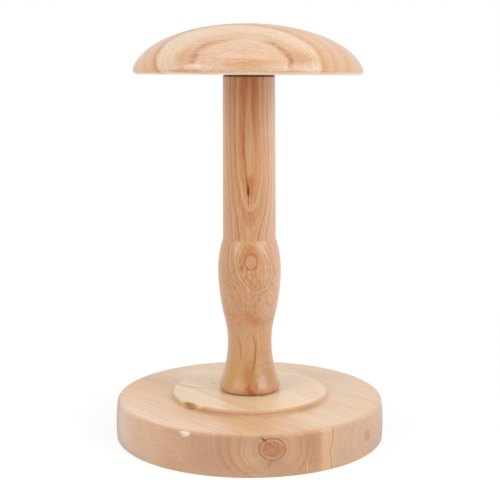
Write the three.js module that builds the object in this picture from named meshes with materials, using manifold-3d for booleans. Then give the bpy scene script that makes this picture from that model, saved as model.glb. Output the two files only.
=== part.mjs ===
// A milliner's hat stand in turned wood: a round base glued up from two pine boards, a column
// and a domed cap. The column's tenon sits in the base and a screw from below holds it there.
// A screw with two pointed ends joins the cap to the column.
//
// Millimetres, +Z up. The origin is the centre of the base's underside, and the grain of the
// base boards runs along Y.

import * as THREE from 'three';
import { mergeVertices } from 'three/addons/utils/BufferGeometryUtils.js';
import Module from 'manifold-3d';

const wasm = await Module();
wasm.setup();

// Base disc and the boss on it
const baseRadius = 100.7;
const baseThickness = 30;
const baseTopRound = 3;
const baseFootChamfer = 0.5;
const rimWidestHeight = 11;
const rimTopInset = 1;
const bossRadius = 58.5;
const bossHeight = 4;
const bossTopRound = 2;
const bossRootFillet = 1.2;

// Glue joint between the two boards, left of the axis, and the dowels across it
const jointOffset = 11;
const boardDowelRadius = 4;
const boardDowelLength = 40;
const boardDowelChamfer = 1;
const boardDowelSpacing = 120;

// Column: heights are taken from its foot on the boss
const columnHeight = 235;
const footRadius = 22.9;
const footEdgeHeight = 4.5;
const footUnderRound = 2.5;
const waistRadius = 16.5;
const waistHeight = 37.5;
const bendHeight = 55.5;
const bellyRadius = 23.5;
const bellyHeight = 93;
const shoulderRadius = 19.8;
const shoulderHeight = 115.6;
const columnTopRadius = 19.1;
const columnTopRound = 1.5;

// Round tenon under the column
const tenonRadius = 11;
const tenonLength = 18;
const tenonChamfer = 1;

// Cap
const capRadius = 84.1;
const capHeight = 36.6;
const capLipRound = 3;
const capCentreDrop = 1.2;

// Base screw, from below, and its washer in a counterbore
const baseScrewLength = 50;
const baseScrewRadius = 2.5;
const baseScrewRootRadius = 1.8;
const baseScrewPlainLength = 16;
const baseScrewPitch = 2.5;
const baseScrewPointLength = 5;
const screwHeadRadius = 5;
const screwHeadHeight = 3.2;
const screwSlotWidth = 1.3;
const screwSlotDepth = 1.5;
const washerRadius = 8;
const washerThickness = 1.5;
const counterboreRadius = 9.5;
const counterboreDepth = 6;

// Screw between column and cap
const capScrewLength = 50;
const capScrewRadius = 3;
const capScrewRootRadius = 2.2;
const capScrewPlainLength = 6;
const capScrewPitch = 2.5;
const capScrewPointLength = 5;

// Clearances: round a piece in its hole, and beyond its end
const sideClearance = 0.3;
const endClearance = 0.6;

// How far a cutting shape runs past the face that it cuts
const overrun = 5;

// Sides of the round pieces
const baseSides = 72;
const columnSides = 48;
const capSides = 72;
const boreSides = 24;
const screwSides = 16;

// Heights above the underside of the base
const bossTop = baseThickness + bossHeight;
const columnTop = bossTop + columnHeight;
const socketFloor = bossTop - tenonLength - endClearance;
const washerFace = counterboreDepth - washerThickness;

// Colours and surfaces
const pine = new THREE.MeshStandardMaterial({ color: 0xe0bf95, roughness: 0.55, metalness: 0 });
const redWood = new THREE.MeshStandardMaterial({ color: 0xc48a5c, roughness: 0.3, metalness: 0 });
const paleWood = new THREE.MeshStandardMaterial({ color: 0xe0b68c, roughness: 0.3, metalness: 0 });
const dowelWood = new THREE.MeshStandardMaterial({ color: 0xd8b98c, roughness: 0.7, metalness: 0 });
const steel = new THREE.MeshStandardMaterial({ color: 0x8d8b87, roughness: 0.4, metalness: 1 });

// Profiles are lists of points [radius, height]

// Points on a round from one angle to another, in degrees, both ends included
function arc(centre, radius, from, to, steps) {
  const points = [];
  for (let i = 0; i <= steps; i++) {
    const angle = THREE.MathUtils.degToRad(from + (to - from) * i / steps);
    points.push([centre[0] + radius * Math.cos(angle), centre[1] + radius * Math.sin(angle)]);
  }
  return points;
}

// Points of a curve that gives the radius at each height between two heights
function sweep(from, to, radiusAt, steps) {
  const points = [];
  for (let i = 0; i <= steps; i++) {
    const height = from + (to - from) * i / steps;
    points.push([radiusAt(height), height]);
  }
  return points;
}

// A parabola that leaves its peak, a [radius, height], square to it and passes through an end
function parabola(peak, end) {
  return (height) => peak[0] + (end[0] - peak[0]) * ((height - peak[1]) / (end[1] - peak[1])) ** 2;
}

// A profile turned about the Z axis
function turned(points, sides) {
  const profile = points.map(([radius, height]) => new THREE.Vector2(radius, height));
  return new THREE.LatheGeometry(profile, sides).rotateX(Math.PI / 2);
}

// A plain round bar on the Z axis between two heights
function bar(radius, from, to, sides) {
  return turned([[0, from], [radius, from], [radius, to], [0, to]], sides);
}

// A geometry as a solid for joining and cutting
function toSolid(geometry) {
  const plain = geometry.clone();
  plain.deleteAttribute('normal');
  plain.deleteAttribute('uv');
  const merged = mergeVertices(plain);
  return new wasm.Manifold(new wasm.Mesh({
    numProp: 3,
    vertProperties: new Float32Array(merged.attributes.position.array),
    triVerts: new Uint32Array(merged.index.array),
  }));
}

// A solid back as a geometry
function toGeometry(solid) {
  const mesh = solid.getMesh();
  const geometry = new THREE.BufferGeometry();
  geometry.setAttribute('position', new THREE.BufferAttribute(mesh.vertProperties, mesh.numProp));
  geometry.setIndex(new THREE.BufferAttribute(mesh.triVerts, 1));
  geometry.computeVertexNormals();
  return geometry;
}

// The whole turned base, before it is drilled: rim, rounded edge, top, fillet and boss
function baseProfile() {
  const rimTop = baseThickness - baseTopRound;
  const rimRadius = parabola([baseRadius, rimWidestHeight], [baseRadius - rimTopInset, rimTop]);
  const rim = sweep(baseFootChamfer, rimTop, rimRadius, 8);
  return [
    [0, 0],
    [rim[0][0] - baseFootChamfer, 0],
    ...rim,
    ...arc([rimRadius(rimTop) - baseTopRound, rimTop], baseTopRound, 0, 90, 4).slice(1),
    ...arc([bossRadius + bossRootFillet, baseThickness + bossRootFillet], bossRootFillet, 270, 180, 2),
    ...arc([bossRadius - bossTopRound, bossTop - bossTopRound], bossTopRound, 0, 90, 3),
    [0, bossTop],
  ];
}

// A dowel lying along X across the glue joint, at mid thickness
function acrossJoint(geometry, y) {
  return geometry.rotateY(Math.PI / 2).translate(-jointOffset, y, baseThickness / 2);
}

function boardDowel(y) {
  const half = boardDowelLength / 2;
  const end = boardDowelRadius - boardDowelChamfer;
  const profile = [
    [0, -half],
    [end, -half],
    [boardDowelRadius, boardDowelChamfer - half],
    [boardDowelRadius, half - boardDowelChamfer],
    [end, half],
    [0, half],
  ];
  return acrossJoint(turned(profile, boreSides), y);
}

function boardDowelHole(y) {
  const half = boardDowelLength / 2 + endClearance;
  return acrossJoint(bar(boardDowelRadius + sideClearance, -half, half, boreSides), y);
}

// Everything drilled out of the base: socket, screw hole, counterbore and dowel holes
function baseHoles() {
  const socket = bar(tenonRadius + sideClearance, socketFloor, bossTop + overrun, boreSides);
  const screwHole = bar(baseScrewRadius + sideClearance, -overrun, bossTop + overrun, boreSides);
  const counterbore = bar(counterboreRadius, -overrun, counterboreDepth, boreSides);
  const dowelHoles = [-boardDowelSpacing / 2, boardDowelSpacing / 2].map(boardDowelHole);
  return [socket, screwHole, counterbore, ...dowelHoles].map(toSolid);
}

// The turned and drilled base, kept on one side of the glue joint: side is -1 left or 1 right
function baseBoard(side) {
  const reach = baseRadius + jointOffset + overrun;
  const half = new THREE.BoxGeometry(reach, 2 * reach, 2 * (bossTop + overrun));
  half.translate(side * reach / 2 - jointOffset, 0, 0);
  let board = toSolid(turned(baseProfile(), baseSides)).intersect(toSolid(half));
  for (const hole of baseHoles()) {
    board = board.subtract(hole);
  }
  return toGeometry(board);
}

// The column with its tenon below and a screw bore in each end
function column() {
  const lowerBore = baseScrewRadius + sideClearance;
  const lowerBoreEnd = washerFace + baseScrewLength + endClearance;
  const upperBore = capScrewRadius + sideClearance;
  const upperBoreEnd = columnTop - capScrewLength / 2 - endClearance;
  const tenonEnd = bossTop - tenonLength;

  // Peaks and ends of the curves. The two from waist and belly meet on the line between them,
  // and so with one slope.
  const edge = [footRadius, bossTop + footEdgeHeight];
  const waist = [waistRadius, bossTop + waistHeight];
  const belly = [bellyRadius, bossTop + bellyHeight];
  const shoulder = [shoulderRadius, bossTop + shoulderHeight];
  const bendShare = (bendHeight - waistHeight) / (bellyHeight - waistHeight);
  const bend = [waistRadius + (bellyRadius - waistRadius) * bendShare, bossTop + bendHeight];

  return turned([
    [0, lowerBoreEnd],
    [lowerBore, lowerBoreEnd],
    [lowerBore, tenonEnd],
    [tenonRadius - tenonChamfer, tenonEnd],
    [tenonRadius, tenonEnd + tenonChamfer],
    [tenonRadius, bossTop],
    ...arc([footRadius - footUnderRound, bossTop + footUnderRound], footUnderRound, 270, 360, 3),
    ...sweep(edge[1], waist[1], parabola(waist, edge), 7),
    ...sweep(waist[1], bend[1], parabola(waist, bend), 4).slice(1),
    ...sweep(bend[1], belly[1], parabola(belly, bend), 6).slice(1),
    ...sweep(belly[1], shoulder[1], parabola(belly, shoulder), 6).slice(1),
    ...arc([columnTopRadius - columnTopRound, columnTop - columnTopRound], columnTopRound, 0, 90, 3),
    [upperBore, columnTop],
    [upperBore, upperBoreEnd],
    [0, upperBoreEnd],
  ], columnSides);
}

// The cap: an elliptic dome whose centre lies a little below the flat underside, and a rounded lip
function cap() {
  const domeRise = capHeight + capCentreDrop;
  const domeCentre = columnTop - capCentreDrop;
  const lipTop = columnTop + capLipRound;
  const lipAngle = Math.asin((lipTop - domeCentre) / domeRise);
  const bore = capScrewRadius + sideClearance;
  const boreEnd = columnTop + capScrewLength / 2 + endClearance;
  const dome = [];
  const domeSteps = 14;
  for (let i = 0; i < domeSteps; i++) {
    const angle = lipAngle + (Math.PI / 2 - lipAngle) * i / domeSteps;
    dome.push([capRadius * Math.cos(angle), domeCentre + domeRise * Math.sin(angle)]);
  }
  const lipCentre = [dome[0][0] - capLipRound, lipTop];
  return turned([
    [0, boreEnd],
    [bore, boreEnd],
    [bore, columnTop],
    ...arc(lipCentre, capLipRound, 270, 360, 4),
    ...dome.slice(1),
    [0, columnTop + capHeight],
  ], capSides);
}

// Thread drawn as rings of one pitch each, from one height up to another
function thread(from, to, rootRadius, crestRadius, pitch) {
  const rings = Math.max(1, Math.round((to - from) / pitch));
  const step = (to - from) / rings;
  const points = [];
  for (let i = 0; i < rings; i++) {
    points.push([rootRadius, from + step * i]);
    points.push([crestRadius, from + step * (i + 0.5)]);
  }
  points.push([rootRadius, to]);
  return points;
}

// The base screw: a slotted round head below, a plain shank, a thread and a point
function baseScrew() {
  const tip = washerFace + baseScrewLength;
  const pointStart = tip - baseScrewPointLength;
  const plainEnd = washerFace + baseScrewPlainLength;
  const headBottom = washerFace - screwHeadHeight;
  const head = [];
  const headSteps = 6;
  for (let i = 0; i <= headSteps; i++) {
    const angle = Math.PI / 2 * i / headSteps;
    head.push([screwHeadRadius * Math.sin(angle), washerFace - screwHeadHeight * Math.cos(angle)]);
  }
  const blank = turned([
    ...head,
    [baseScrewRadius, washerFace],
    [baseScrewRadius, plainEnd],
    ...thread(plainEnd, pointStart, baseScrewRootRadius, baseScrewRadius, baseScrewPitch),
    [0, tip],
  ], screwSides);
  const slot = new THREE.BoxGeometry(2 * (screwHeadRadius + overrun), screwSlotWidth, 2 * screwSlotDepth);
  slot.translate(0, 0, headBottom);
  return toGeometry(toSolid(blank).subtract(toSolid(slot)));
}

function baseWasher() {
  const hole = baseScrewRadius + sideClearance;
  return turned([
    [hole, washerFace],
    [washerRadius, washerFace],
    [washerRadius, counterboreDepth],
    [hole, counterboreDepth],
    [hole, washerFace],
  ], boreSides);
}

// The screw between column and cap: a short plain middle and a thread and a point each way
function capDowelScrew() {
  const half = capScrewLength / 2;
  const plainHalf = capScrewPlainLength / 2;
  const pointStart = half - capScrewPointLength;
  const upper = [
    [capScrewRadius, plainHalf],
    ...thread(plainHalf, pointStart, capScrewRootRadius, capScrewRadius, capScrewPitch),
    [0, half],
  ];
  const lower = upper.map(([radius, height]) => [radius, -height]).reverse();
  return turned([...lower, ...upper], screwSides).translate(0, 0, columnTop);
}

const stand = new THREE.Group();

function addPiece(name, geometry, material) {
  const piece = new THREE.Mesh(geometry, material);
  piece.name = name;
  stand.add(piece);
}

addPiece('base_board_left', baseBoard(-1), pine);
addPiece('base_board_right', baseBoard(1), pine);
addPiece('board_dowel_front', boardDowel(-boardDowelSpacing / 2), dowelWood);
addPiece('board_dowel_back', boardDowel(boardDowelSpacing / 2), dowelWood);
addPiece('column', column(), redWood);
addPiece('base_screw', baseScrew(), steel);
addPiece('base_washer', baseWasher(), steel);
addPiece('cap_dowel_screw', capDowelScrew(), steel);
addPiece('cap', cap(), paleWood);

export default stand;
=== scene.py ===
"""A turned wooden hat stand: two pine boards glued into a round base with a boss, a waisted
column and a domed cap, with the screws, washer and dowels that hold them together.

Laid out as an add-on with one operator for each piece or group of pieces, and run as a script.
Lengths are in metres, +Z up. The grain of the base boards runs along Y.
"""

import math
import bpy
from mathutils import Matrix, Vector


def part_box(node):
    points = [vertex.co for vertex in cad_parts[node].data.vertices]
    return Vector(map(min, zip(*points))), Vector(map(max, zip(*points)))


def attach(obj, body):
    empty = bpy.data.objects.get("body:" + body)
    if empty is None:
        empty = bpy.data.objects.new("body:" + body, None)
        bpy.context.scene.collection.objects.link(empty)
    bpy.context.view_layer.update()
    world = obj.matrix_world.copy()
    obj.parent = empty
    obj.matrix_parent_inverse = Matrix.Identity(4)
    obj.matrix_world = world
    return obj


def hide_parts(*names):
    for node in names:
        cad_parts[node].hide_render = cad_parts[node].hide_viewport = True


bl_info = {
    "name": "Turned Hat Stand",
    "version": (1, 0, 0),
    "blender": (4, 5, 0),
    "location": "View3D > Sidebar > Hat Stand",
    "description": "Builds a turned wooden hat stand and the stage it stands on",
    "category": "Object",
}

import bmesh
import bpy
from bpy.props import FloatProperty, FloatVectorProperty, IntProperty, PointerProperty
from mathutils import Matrix, Vector, noise

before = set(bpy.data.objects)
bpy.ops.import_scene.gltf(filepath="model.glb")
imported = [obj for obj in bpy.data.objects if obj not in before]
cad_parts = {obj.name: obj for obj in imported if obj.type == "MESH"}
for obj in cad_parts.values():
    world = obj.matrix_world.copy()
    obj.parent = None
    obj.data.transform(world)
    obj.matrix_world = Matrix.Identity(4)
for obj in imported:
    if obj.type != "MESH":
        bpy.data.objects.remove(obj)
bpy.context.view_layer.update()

MM = 0.001
BODY = "root"

# Sizes that the fixed frame gives
BOARD_LOW, BOARD_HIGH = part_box("base_board_right")
CAP_LOW, CAP_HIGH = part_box("cap")
BASE_RADIUS = BOARD_HIGH.x
BOSS_TOP = BOARD_HIGH.z
JOINT_X = BOARD_LOW.x
COLUMN_TOP = CAP_LOW.z
STAND_TOP = CAP_HIGH.z

# How far the photograph's view is turned from looking along +Y
VIEW_TURN = math.radians(-41)

# Faces round each turned piece and each bore
BASE_SIDES = 288
COLUMN_SIDES = 160
CAP_SIDES = 256
SCREW_SIDES = 48
WASHER_SIDES = 64
BORE_SIDES = 64
SMALL_BORE_SIDES = 32
SIDES_PER_FLUTE = 8
FLOOR_SIDES = 96

# Steps along a round in a profile and up a screw's point, and up each pitch of a thread
ROUND_STEPS = 12
POINT_STEPS = 20
PITCH_STEPS = 10

# Edges stay sharp past these angles, in degrees
SHARP_PAST = 32
COLUMN_SHARP_PAST = 16
CAP_SHARP_PAST = 28

# Points of a turned piece nearer than this are merged, and points nearer than this to the glue
# joint's plane lie in it
WELD = 1e-7
TOUCHING = 1e-6

# How far drills run past a face, how far out the base's bores and a screw's bore end, and the top
# part of the column that stretches up to the cap
DRILL_PAST = 5 * MM
PAST_BORES = 24 * MM
BORE_EDGE = 5 * MM
RAISED_OVER = 60 * MM


def srgb(red, green, blue):
    """A colour given as it looks on a screen, in 0 to 255, as the linear RGBA that Blender mixes."""
    shares = [channel / 255 for channel in (red, green, blue)]
    linear = [s / 12.92 if s <= 0.04045 else ((s + 0.055) / 1.055) ** 2.4 for s in shares]
    return (*linear, 1.0)


def ink(tint):
    """A colour as a socket takes it: linear RGBA, or the socket that it comes from."""
    if isinstance(tint, bpy.types.NodeSocket):
        return tint
    return srgb(*tint) if isinstance(tint, tuple) else (*tint, 1.0)


def length(name, description, size):
    """A length property. Its default is given in millimetres."""
    return FloatProperty(name=name, description=description, default=size * MM, unit="LENGTH")


def angle(name, description, degrees):
    """An angle property. Its default is given in degrees."""
    return FloatProperty(name=name, description=description, default=math.radians(degrees), subtype="ANGLE")


def colour(name, description, *screen):
    """A colour property. Its default is given as it looks on a screen, in 0 to 255."""
    default = srgb(*screen)[:3]
    return FloatVectorProperty(name=name, description=description, default=default, size=3, subtype="COLOR")


class HATSTAND_PG_base(bpy.types.PropertyGroup):
    """Sizes of the round base and the boss on it."""

    radius: length("Radius", "Radius of the rim at its widest", BASE_RADIUS / MM)
    thickness: length("Thickness", "Height of the base without its boss", 30)
    edge_round: length("Edge round", "Radius of the rounded top edge", 3)
    foot_chamfer: length("Foot chamfer", "Chamfer at the underside", 0.5)
    rim_widest: length("Widest height", "Height at which the rim is widest", 11)
    rim_inset: length("Rim inset", "How much narrower the rim is under its rounded edge", 1)
    boss_radius: length("Boss radius", "Radius of the raised boss", 58.5)
    boss_round: length("Boss round", "Radius of the boss's rounded edge", 2)
    boss_fillet: length("Boss fillet", "Radius of the fillet at the boss's root", 1.2)
    joint_groove: length("Joint groove", "Width of the worn arris along the glue joint", 0.14)


class HATSTAND_PG_column(bpy.types.PropertyGroup):
    """Sizes of the column. Heights are above its foot."""

    foot_radius: length("Foot radius", "Radius of the flared foot", 23.1)
    foot_round: length("Foot round", "Radius of the foot's rounded edge", 4.0)
    waist_radius: length("Waist radius", "Radius at the waist", 16.5)
    waist_height: length("Waist height", "Height of the waist", 37.5)
    bend_height: length("Bend height", "Height at which waist and belly meet", 55.5)
    belly_radius: length("Belly radius", "Radius of the belly", 23.5)
    belly_height: length("Belly height", "Height of the belly", 93)
    shoulder_radius: length("Shoulder radius", "Radius at the shoulder", 19.8)
    shoulder_height: length("Shoulder height", "Height of the shoulder", 115.6)
    top_radius: length("Top radius", "Radius under the cap", 19.1)
    top_round: length("Top round", "Radius of the column's top edge", 1.5)
    tenon_radius: length("Tenon radius", "Radius of the tenon in the base", 11)
    tenon_length: length("Tenon length", "Length of the tenon", 18)
    tenon_chamfer: length("Tenon chamfer", "Chamfer at the tenon's end", 1)
    foot_shift: length("Foot shift", "How far right of its axis the foot stands, as photographed", 0.15)
    top_shift: length("Top shift", "How far right of its axis the top stands", -0.5)


class HATSTAND_PG_cap(bpy.types.PropertyGroup):
    """Sizes of the domed cap."""

    radius: length("Radius", "Half width of the ellipse that the dome follows", 84.1)
    lip_round: length("Lip round", "Radius of the rounded lip", 3)
    centre_drop: length("Centre drop", "How far the ellipse's centre is below the underside", 1.2)
    lip_shift: length("Lip shift", "How far right of its axis the lip stands, as photographed", -1.06)
    top_shift: length("Top shift", "How much farther right the top stands", -0.75)
    tilt: angle("Tilt", "The angle by which its left side is up, as photographed", 0.25)
    raised: length("Raised", "How much higher it and the column's top are, as photographed", 0.35)
    crown_raise: length("Crown raise", "How much higher still its crown is", 0.1)


class HATSTAND_PG_fasteners(bpy.types.PropertyGroup):
    """Sizes of screws, washer and dowels."""

    screw_radius: length("Base screw radius", "Radius over the thread", 2.5)
    screw_length: length("Base screw length", "Length under the head", 50)
    screw_plain: length("Plain shank", "Length of the base screw without a thread", 16)
    head_radius: length("Head radius", "Radius of the round head", 5)
    head_height: length("Head height", "Height of the round head", 3.2)
    slot_width: length("Slot width", "Width of the slot in the head", 1.3)
    slot_depth: length("Slot depth", "Depth of the slot in the head", 1.5)
    cap_screw_radius: length("Cap screw radius", "Radius over the thread", 3)
    cap_screw_length: length("Cap screw length", "Length from point to point", 50)
    pitch: length("Pitch", "Pitch of both threads", 2.5)
    thread_depth: length("Thread depth", "Depth of both threads", 0.7)
    point_length: length("Point length", "Length of a screw's point", 5)
    washer_radius: length("Washer radius", "Radius of the washer", 8)
    washer_thickness: length("Washer thickness", "Thickness of the washer", 1.5)
    counterbore_radius: length("Counterbore radius", "Radius of the hole for the washer", 9.5)
    counterbore_depth: length("Counterbore depth", "Depth of the hole for the washer", 6)
    dowel_radius: length("Dowel radius", "Radius of the dowels across the joint", 4)
    dowel_length: length("Dowel length", "Length of these dowels", 40)
    dowel_spacing: length("Dowel spacing", "Distance between the two dowels", 120)
    dowel_chamfer: length("Dowel chamfer", "Chamfer at a dowel's ends", 1)
    flute_depth: length("Flute depth", "Depth of a dowel's flutes", 0.3)
    clearance: length("Clearance", "Room round a piece in its hole", 0.3)
    end_clearance: length("End clearance", "Room past a piece's end", 0.6)
    flutes: IntProperty(name="Flutes", description="Flutes round a dowel", default=18, min=3)


class HATSTAND_PG_finish(bpy.types.PropertyGroup):
    """Colours of the woods and metal."""

    pine: colour("Pine", "Pale fibres of the base", 246, 218, 182)
    pine_warm: colour("Pine warm", "Warm clouds in the base", 228, 182, 140)
    pine_late: colour("Pine rings", "Late wood of the base", 184, 128, 88)
    pine_end: colour("Pine end grain", "End grain on the rim", 186, 138, 104)
    # Painted shade: the colour of the boss's side, laid on more strongly towards the front
    boss_side_shade: colour("Boss side", "The side of the boss", 200, 154, 112)
    # The colour of the base's rounded edge, also used as painted light at the rim's bottom
    pine_edge_and_painted_light: colour("Base edge", "The rounded top edge of the base", 216, 174, 130)
    joint: colour("Joint", "The line of the glue joint on the rim", 156, 110, 74)
    cap_pale: colour("Cap pale", "Pale fibres of the cap", 244, 210, 174)
    cap_dark: colour("Cap rings", "Ring lines of the cap", 190, 134, 90)
    column_pale: colour("Column pale", "Pale fibres of the column", 228, 184, 142)
    column_dark: colour("Column rings", "Ring lines of the column", 158, 98, 58)
    column_red: colour("Column flame", "Red flame round the column's pale core", 180, 98, 54)
    dowel: colour("Dowel", "Beech of the dowels", 216, 184, 142)
    steel: colour("Steel", "Plated steel of screws and washer", 176, 174, 168)
    floor: colour("Floor", "The pale floor", 245, 245, 245)


SETTINGS = {
    "hatstand_base": HATSTAND_PG_base,
    "hatstand_column": HATSTAND_PG_column,
    "hatstand_cap": HATSTAND_PG_cap,
    "hatstand_fasteners": HATSTAND_PG_fasteners,
    "hatstand_finish": HATSTAND_PG_finish,
}

# Clear coats on the woods, as values of the shader's sockets
BASE_COAT = {"Coat Weight": 0.4, "Coat Roughness": 0.3, "Specular IOR Level": 0.4}
COLUMN_COAT = {"Coat Weight": 0.5, "Coat Roughness": 0.2, "Specular IOR Level": 0.28}
CAP_COAT = {"Coat Weight": 0.34, "Coat Roughness": 0.2, "Specular IOR Level": 0.25}


class Graph:
    """Adds nodes to one tree. A socket or a plain value can feed any input."""

    def __init__(self, tree):
        self.tree = tree
        self.tree.nodes.clear()

    def feed(self, socket, value):
        if isinstance(value, bpy.types.NodeSocket):
            self.tree.links.new(value, socket)
        elif value is not None:
            socket.default_value = value

    def node(self, kind, *values, named=None, **settings):
        node = self.tree.nodes.new(kind)
        for name, value in settings.items():
            setattr(node, name, value)
        for socket, value in zip(node.inputs, values):
            self.feed(socket, value)
        for name, value in (named or {}).items():
            self.feed(node.inputs[name], value)
        return node

    def math(self, operation, a, b=None, c=None, clamp=False):
        return self.node("ShaderNodeMath", a, b, c, operation=operation, use_clamp=clamp).outputs[0]

    def chain(self, operation, first, *others):
        for value in others:
            first = self.math(operation, first, value)
        return first

    def add(self, *terms):
        return self.chain("ADD", *terms)

    def minus(self, *terms):
        return self.chain("SUBTRACT", *terms)

    def times(self, *factors):
        return self.chain("MULTIPLY", *factors)

    def most(self, *values):
        return self.chain("MAXIMUM", *values)

    def vector(self, operation, a, b=None, c=None, **named):
        node = self.node("ShaderNodeVectorMath", a, b, c, named=named, operation=operation)
        return node.outputs["Value" if operation in ("DOT_PRODUCT", "LENGTH") else "Vector"]

    def split(self, vector):
        return self.node("ShaderNodeSeparateXYZ", vector).outputs[:]

    def join(self, x, y, z):
        return self.node("ShaderNodeCombineXYZ", x, y, z).outputs[0]

    def remap(self, value, low, high, to_low=0.0, to_high=1.0, smooth=True):
        """Value carried from one span to another, and held at its ends."""
        spans = (value, low, high, to_low, to_high)
        kind = "SMOOTHSTEP" if smooth else "LINEAR"
        return self.node("ShaderNodeMapRange", *spans, interpolation_type=kind, clamp=True).outputs[0]


class Paint(Graph):
    """Shader nodes that build up one tint. A colour is a socket, a property or a tuple in 0 to 255.
    Lengths are millimetres."""

    def __init__(self, name):
        self.material = bpy.data.materials.new(name)
        self.material.use_nodes = True
        super().__init__(self.material.node_tree)
        self.tint = None

    def place(self, turn=0.0):
        """Object coordinates in millimetres, turned about Z."""
        read = self.node("ShaderNodeTexCoord").outputs["Object"]
        scale = (1 / MM, 1 / MM, 1 / MM)
        return self.node("ShaderNodeMapping", read, (0, 0, 0), (0, 0, turn), scale).outputs[0]

    def reach(self, x, y, z=0.0):
        """The distance from the origin."""
        return self.vector("LENGTH", self.join(x, y, z))

    def noise(self, vector, stretch, detail=2.0, roughness=0.5, seed=0.0):
        """Cloudy noise from 0 to 1, with one size of cloud along each axis."""
        frequency = tuple(1 / size for size in stretch)
        place = self.vector("MULTIPLY_ADD", vector, frequency, (seed, seed * 1.7, seed * 2.3))
        named = {"Vector": place, "Scale": 1.0, "Detail": detail, "Roughness": roughness}
        return self.node("ShaderNodeTexNoise", named=named, noise_dimensions="3D").outputs[0]

    def line_noise(self, value, size, detail=2.0, roughness=0.5, seed=0.0):
        """Noise along one value, such as the distance from a pith."""
        along = self.math("MULTIPLY_ADD", value, 1 / size, seed)
        named = {"W": along, "Scale": 1.0, "Detail": detail, "Roughness": roughness}
        return self.node("ShaderNodeTexNoise", named=named, noise_dimensions="1D").outputs[0]

    def sway(self, noise, amount):
        """Noise set about zero, times an amount."""
        return self.times(self.minus(noise, 0.5), amount)

    def blend(self, share, a, b):
        """Two colours mixed by a share."""
        node = self.node("ShaderNodeMix", data_type="RGBA", blend_type="MIX", clamp_factor=True)
        for index, value in ((0, share), (6, ink(a)), (7, ink(b))):
            self.feed(node.inputs[index], value)
        return node.outputs[2]

    def lay(self, share, over):
        """Lays a colour over the tint."""
        self.tint = self.blend(share, self.tint, over)

    def tones(self, value, stops):
        """A colour or a strength for each value, through stops of both, the lowest first."""
        low, high = stops[0][0], stops[-1][0]
        ramp = self.node("ShaderNodeValToRGB", self.remap(value, low, high, smooth=False))
        elements = ramp.color_ramp.elements
        while len(elements) < len(stops):
            elements.new(1.0)
        for element, (at, tone) in zip(elements, stops):
            element.position = (at - low) / (high - low)
            element.color = srgb(*tone) if isinstance(tone, tuple) else (tone, tone, tone, 1.0)
        return ramp.outputs[0]

    def curve(self, value, points):
        """A smooth curve through points of (value, result)."""
        xs, ys = zip(*points)
        bottom, top = min(ys), max(ys)
        node = self.node("ShaderNodeFloatCurve", 1.0, self.remap(value, xs[0], xs[-1], smooth=False))
        line = node.mapping.curves[0]
        spots = [((x - xs[0]) / (xs[-1] - xs[0]), (y - bottom) / (top - bottom)) for x, y in points]
        line.points[0].location = spots[0]
        line.points[1].location = spots[-1]
        for spot in spots[1:-1]:
            line.points.new(*spot)
        node.mapping.update()
        return self.math("MULTIPLY_ADD", node.outputs[0], top - bottom, bottom)

    def streak(self, point, start, end, width):
        """1 on a pointed streak from one place to another, falling to 0 at half its width."""
        start, end = Vector(start), Vector(end)
        run = end - start
        ahead = self.vector("SUBTRACT", point, tuple(start))
        along = self.vector("DOT_PRODUCT", ahead, tuple(run / run.length_squared))
        share = self.math("MULTIPLY", along, 1.0, clamp=True)
        reached = self.vector("SCALE", tuple(run), Scale=share)
        away = self.vector("LENGTH", self.vector("SUBTRACT", ahead, reached))
        belly = self.times(share, self.minus(1.0, share), 2 * width)
        edge = self.add(belly, 0.1 * width)
        return self.remap(away, self.times(edge, 0.2), edge, 1.0, 0.0)

    def lump(self, point, centre, radii, rough, seed, turn=(0, 0, 0)):
        """Distance from a centre as a share of the radii, with a rough surface. Turn is in degrees."""
        spin = tuple(math.radians(degrees) for degrees in turn)
        inside = self.node("ShaderNodeMapping", point, centre, spin, radii, vector_type="TEXTURE")
        away = self.vector("LENGTH", inside.outputs[0])
        size = 0.6 * min(radii)
        lumps = self.noise(point, (size, size, size), 2, 0.6, seed)
        return self.math("MULTIPLY_ADD", lumps, rough, self.add(away, -0.5 * rough))

    def blot(self, away, soft):
        """1 inside a lump, falling to 0 at its surface over a soft share of its radii."""
        return self.remap(away, 1.0 - soft, 1.0, 1.0, 0.0)

    def hoop(self, away, soft):
        """1 on the surface of a lump, falling to 0 on both sides."""
        return self.remap(self.math("ABSOLUTE", self.minus(away, 1.0)), 0.3 * soft, soft, 1.0, 0.0)

    def mark(self, point, streaks=(), blots=(), hoops=(), within=None):
        """Lays streaks, blots and hoops over the tint, or over the part of it within a share."""
        plain = self.tint
        for start, end, width, strength, over in streaks:
            self.lay(self.times(self.streak(point, start, end, width), strength), over)
        shapes = [(self.blot, form) for form in blots] + [(self.hoop, form) for form in hoops]
        for seed, (shape, form) in enumerate(shapes):
            centre, radii, rough, soft, strength, over, *turn = form
            away = self.lump(point, centre, radii, rough, seed, *turn)
            self.lay(self.times(shape(away, soft), strength), over)
        if within is not None:
            self.tint = self.blend(within, plain, self.tint)

    def finish(self, roughness, height, lift, **coat):
        """The tint's shader, its bump and the output. The coat's values go on the shader's sockets."""
        bump = self.node("ShaderNodeBump", named={"Strength": 1.0, "Distance": lift, "Height": height})
        named = {"Base Color": self.tint, "Roughness": roughness, "Normal": bump.outputs[0], **coat}
        shader = self.node("ShaderNodeBsdfPrincipled", named=named)
        self.node("ShaderNodeOutputMaterial", shader.outputs[0])
        return self.material


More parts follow.
